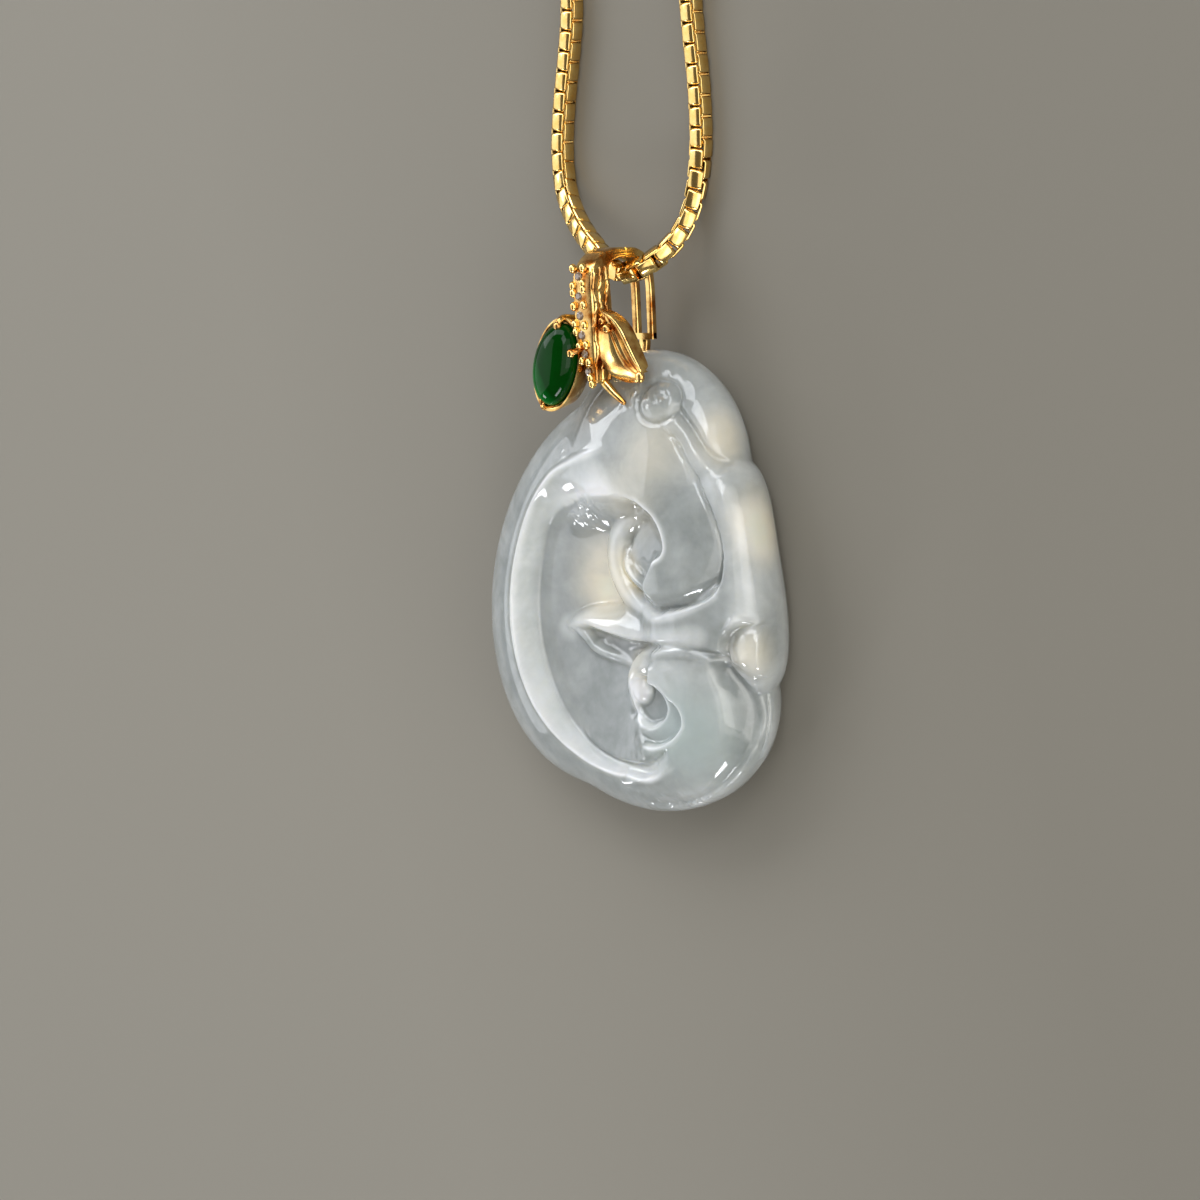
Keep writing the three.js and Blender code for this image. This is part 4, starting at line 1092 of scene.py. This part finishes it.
def back_height(x, y, s):
    """Height of the back: flat, rounded near the edge, and notched for the bail's foot."""
    q = np.clip((s - 1 + BACK_ROUND) / BACK_ROUND, 0, 1)
    round_edge = EDGE_Z * (1 - np.sqrt(np.maximum(0, 1 - q * q)))
    notch = np.interp(y, *zip((0, 0), *NOTCH)) * (np.abs(x) < NOTCH_HALF)
    return np.maximum(round_edge, notch)


def polished(grid, s):
    """Polishing by hand rounds every carved edge by about a tenth of a millimetre."""
    for _ in range(POLISH_PASSES):
        around = (grid[:-2, 1:-1] + grid[2:, 1:-1] + grid[1:-1, :-2] + grid[1:-1, 2:]) / 4
        inner = grid[1:-1, 1:-1]
        grid[1:-1, 1:-1] = np.where(s[1:-1, 1:-1] < POLISH_EDGE, (inner + around) / 2, inner)
    return grid


def jade_surface():
    """A square grid bent onto the outline in front, and rings from its rim to the back."""
    n = CELLS
    w, u = np.meshgrid(np.linspace(-1, 1, n + 1), np.linspace(-1, 1, n + 1), indexing="ij")
    gx, gy = u * np.sqrt(1 - w * w / 2), w * np.sqrt(1 - u * u / 2)
    r, phi = np.minimum(1, np.hypot(gx, gy)), np.arctan2(gy, gx)
    s = 0.6 * r + 0.4 * np.sin(math.pi / 2 * r)
    rim = (np.abs(u) > 0.9999) | (np.abs(w) > 0.9999)
    s[rim] = 1
    x = CENTRE[0] + s * outline(phi) * np.cos(phi)
    y = CENTRE[1] + s * outline(phi) * np.sin(phi)
    z, milk_and_painted_light = [polished(grid, s) for grid in carved_front(x, y, s)]
    z[rim] = EDGE_Z
    points = [np.stack([x, y, z], -1).reshape(-1, 3)]
    at = np.arange((n + 1) ** 2).reshape(n + 1, n + 1)
    faces = np.stack([at[:-1, :-1], at[:-1, 1:], at[1:, 1:], at[1:, :-1]], -1).reshape(-1, 4)
    ring = np.concatenate([at[0, :-1], at[:-1, n], at[n, :0:-1], at[:0:-1, 0]])
    bearing = phi.reshape(-1)[ring]
    reach = outline(bearing)
    faces, start = faces.tolist(), (n + 1) ** 2
    for k in range(1, BACK_ROWS):
        if k <= ROUND_ROWS:
            share = 1 - BACK_ROUND * (1 - math.cos(k / ROUND_ROWS * math.pi / 2))
        else:
            share = (1 - BACK_ROUND) * (BACK_ROWS - k) / (BACK_ROWS - ROUND_ROWS)
        rx = CENTRE[0] + share * reach * np.cos(bearing)
        ry = CENTRE[1] + share * reach * np.sin(bearing)
        rz = back_height(rx, ry, np.full(rx.shape, share))
        points.append(np.stack([rx, ry, rz], -1))
        after = np.arange(start, start + len(ring))
        faces += np.stack([ring, after, np.roll(after, -1), np.roll(ring, -1)], -1).tolist()
        ring, start = after, start + len(after)
    points.append(np.array([[*CENTRE, 0]]))
    faces += [(a, start, b) for a, b in zip(ring, np.roll(ring, -1))]
    points = np.vstack(points)
    milk_and_painted_light = np.concatenate([milk_and_painted_light.reshape(-1), np.full(len(points) - milk_and_painted_light.size, BACK_MILK)])
    return points, faces, milk_and_painted_light


# Ice jadeite: a milky, glassy stone, ground smooth and polished with diamond paste to a wet
# gloss. Cloudy wisps a few millimetres wide lie in it, and it is faintly blue-green in the lower
# dome. Warm cream patches are partly its own cream where it is thick, and partly glow painted
# where light passes through it.
MILK_WHITE_AND_GLOW = "#FAFDFD"
GREY_CLEAR_AND_SHADE = "#9AA09E"
CREAM_AND_GLOW = "#FBF2DC"
BLUE_GREEN = "#BCCBC8"
WISP = 3.2
WISP_SHARE = 0.75
COTTON = 0.7
COTTON_SHARE = 0.25
CLOUD_DEPTH = 0.16
SCATTER_DEPTH = 2.5
SCATTER_COLOURS = (1.0, 0.95, 0.85)
GROUND_WAVE = 1.8
GROUND_DEPTH = 0.01
# The tinted patches, each by its place, its radius and its strength.
WARM_TONE_AND_GLOW_SPOTS = [((-1.6, 0.6, 4.0), 5.0, 0.9), ((2.2, 6.2, 5.5), 4.5, 0.35),
              ((0.6, 1.2, 5.2), 2.6, 0.6), ((8.8, 10.2, 4.0), 3.2, 0.6),
              ((11.0, 4.6, 2.8), 4.0, 0.7), ((10.6, -3.4, 4.6), 2.6, 0.5),
              ((1.6, -4.3, 5.6), 2.6, 0.4), ((4.5, 9.5, 6.5), 4.0, 0.35)]
BLUE_SPOT = ((6.0, -8.6, 5.4), 5.5, 0.6)
ice_jade, tree, shader = new_material("ice jadeite, polished", IOR=1.66, Roughness=0.03,
                                      Transmission_Weight=0.3, Subsurface_Weight=1.0,
                                      Subsurface_Scale=SCATTER_DEPTH * MM)
coords = add(tree, "ShaderNodeTexCoord").outputs["Object"]
wisps = add(tree, "ShaderNodeTexNoise", {"Vector": coords, "Scale": 1 / (WISP * MM),
                                         "Detail": 4.0, "Roughness": 0.55, "Distortion": 0.6})
cotton = add(tree, "ShaderNodeTexNoise", {"Vector": coords, "Scale": 1 / (COTTON * MM),
                                          "Detail": 3.0})
clouds = add(tree, "ShaderNodeMath", {0: wisps.outputs["Fac"], 1: WISP_SHARE},
             operation="MULTIPLY")
clouds = add(tree, "ShaderNodeMath", {0: cotton.outputs["Fac"], 1: COTTON_SHARE,
                                      2: clouds.outputs["Value"]}, operation="MULTIPLY_ADD")
# The whiteness drawn on the mesh, with its painted light and shade, is added to the clouds.
milk_and_painted_light = add(tree, "ShaderNodeAttribute", attribute_name="milk_and_painted_light")
clouds = add(tree, "ShaderNodeMapRange", {"Value": clouds.outputs["Value"], "From Min": 0.3,
                                          "From Max": 0.7, "To Min": -CLOUD_DEPTH,
                                          "To Max": CLOUD_DEPTH})
clouds = add(tree, "ShaderNodeMath", {0: clouds.outputs["Result"], 1: milk_and_painted_light.outputs["Fac"]},
             operation="ADD", use_clamp=True)
shade = add(tree, "ShaderNodeMix", {"Factor": clouds.outputs["Value"], 6: linear(GREY_CLEAR_AND_SHADE),
                                    7: linear(MILK_WHITE_AND_GLOW)}, data_type="RGBA")


def tinted(below, spot, hex_colour):
    """The colour below with a soft round patch of another, given by (place, radius, strength)."""
    middle, radius, strength = spot
    away = add(tree, "ShaderNodeVectorMath",
               {0: coords, 1: [c * MM for c in middle]}, operation="DISTANCE")
    share = add(tree, "ShaderNodeMapRange",
                {"Value": away.outputs["Value"], "From Min": 0.0,
                 "From Max": radius * MM, "To Min": strength, "To Max": 0.0},
                interpolation_type="SMOOTHERSTEP")
    cloudy = add(tree, "ShaderNodeMath", {0: wisps.outputs["Fac"], 1: 1.2, 2: 0.5},
                 operation="MULTIPLY_ADD")
    share = add(tree, "ShaderNodeMath", {0: share.outputs["Result"],
                                         1: cloudy.outputs["Value"]},
                operation="MULTIPLY", use_clamp=True)
    tint = add(tree, "ShaderNodeMix", {"Factor": share.outputs["Value"], 6: below,
                                       7: linear(hex_colour)}, data_type="RGBA")
    return tint.outputs[2]


colour = tinted(shade.outputs[2], BLUE_SPOT, BLUE_GREEN)
# The cream patches are partly painted glow of light through the stone.
for spot in WARM_TONE_AND_GLOW_SPOTS:
    colour = tinted(colour, spot, CREAM_AND_GLOW)
ground = add(tree, "ShaderNodeTexNoise", {"Vector": coords, "Scale": 1 / (GROUND_WAVE * MM),
                                          "Detail": 1.5})
bump = add(tree, "ShaderNodeBump", {"Height": ground.outputs["Fac"], "Strength": 0.5,
                                    "Distance": GROUND_DEPTH * MM})
shader.inputs["Subsurface Radius"].default_value = SCATTER_COLOURS
tree.links.new(colour, shader.inputs["Base Color"])
tree.links.new(bump.outputs["Normal"], shader.inputs["Normal"])
points, faces, milk_and_painted_light_values = jade_surface()
jade = make_piece("carved_jade", points, faces, ice_jade, "ice_jade", 180)
jade.data.attributes.new("milk_and_painted_light", "FLOAT", "POINT").data.foreach_set("value", milk_and_painted_light_values)
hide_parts("jade_carving")

# The table: smooth board painted a plain warm grey, which the roller left faintly uneven.
# Shade is painted on it too, darkening it slowly from left to right.
GREY_PAINT = "#827E74"
GREY_PAINT_DEEP_AND_SHADE = "#736F65"
SHADE_WAY = (0.9, 0.3, 0.0)
SHADE_WIDTH = 30.0
ROLLED_PATCH = 60.0
ROLLED_SHARE = 0.2
TABLE_HALF = 1500.0
table_paint, tree, shader = new_material("matt paint on board", Roughness=0.85)
coords = add(tree, "ShaderNodeTexCoord").outputs["Object"]
# Painted shade: the grey deepens from left to right across the table.
across = add(tree, "ShaderNodeVectorMath", {0: coords, 1: SHADE_WAY},
             operation="DOT_PRODUCT")
painted_falloff = add(tree, "ShaderNodeMapRange", {"Value": across.outputs["Value"],
                                        "From Min": -SHADE_WIDTH * MM,
                                        "From Max": SHADE_WIDTH * MM})
rolled = add(tree, "ShaderNodeTexNoise", {"Vector": coords, "Scale": 1 / (ROLLED_PATCH * MM),
                                          "Detail": 2.0})
uneven = add(tree, "ShaderNodeMath", {0: rolled.outputs["Fac"], 1: ROLLED_SHARE,
                                      2: painted_falloff.outputs["Result"]},
             operation="MULTIPLY_ADD", use_clamp=True)
shade = add(tree, "ShaderNodeMix", {"Factor": uneven.outputs["Value"], 6: linear(GREY_PAINT),
                                    7: linear(GREY_PAINT_DEEP_AND_SHADE)}, data_type="RGBA")
tree.links.new(shade.outputs[2], shader.inputs["Base Color"])
mesh = bpy.data.meshes.new("table")
h = TABLE_HALF * MM
mesh.from_pydata([(-h, -h, 0), (h, -h, 0), (h, h, 0), (-h, h, 0)], [], [(0, 1, 2, 3)])
mesh.materials.append(table_paint)
table = bpy.data.objects.new("table", mesh)
bpy.context.scene.collection.objects.link(table)

# The light: daylight from windows, as large soft lamps round the pendant, and a dim room. Each
# lamp has its direction, width, height, radiance and colour.
ROOM = "#8F8B84"
ROOM_STRENGTH = 0.44
LAMP_DISTANCE = 620
LAMPS = [("window_left", (-0.8, 0.0, 0.6), 700, 700, 1.25, "#F6F9FF"),
         ("window_top", (-0.12, 0.8, 0.52), 560, 240, 4.2, "#F6F9FF"),
         ("window_corner", (0.42, 0.55, 0.68), 260, 240, 4.4, "#F6F9FF"),
         ("window_front", (0.76, 0.0, 0.6), 850, 620, 1.3, "#FFFDF8"),
         ("window_right", (0.93, -0.08, 0.36), 500, 360, 1.7, "#FFFDF8"),
         ("lamp_below", (0.19, -0.93, 0.3), 260, 120, 16.0, "#F8FAFF"),
         ("lamp_low_left", (-0.68, -0.62, 0.34), 120, 90, 16.0, "#F8FAFF"),
         ("lamp_high_left", (-0.68, 0.55, 0.48), 420, 260, 4.0, "#F8FAFF")]
world = bpy.data.worlds.new("room")
bpy.context.scene.world = world
world.use_nodes = True
world.node_tree.nodes["Background"].inputs["Color"].default_value = linear(ROOM)
world.node_tree.nodes["Background"].inputs["Strength"].default_value = ROOM_STRENGTH
for name, way, wide, high, radiance, hex_colour in LAMPS:
    lamp = bpy.data.lights.new(name, "AREA")
    lamp.shape = "RECTANGLE"
    lamp.size, lamp.size_y = wide * MM, high * MM
    lamp.energy = radiance * math.pi * wide * high * MM * MM
    lamp.color = linear(hex_colour)[:3]
    made = bpy.data.objects.new(name, lamp)
    way = Vector(way).normalized()
    made.location = way * LAMP_DISTANCE * MM
    made.rotation_euler = way.to_track_quat("Z", "Y").to_euler()
    made.visible_camera = False
    bpy.context.scene.collection.objects.link(made)

bpy.context.scene.view_settings.view_transform = "Standard"
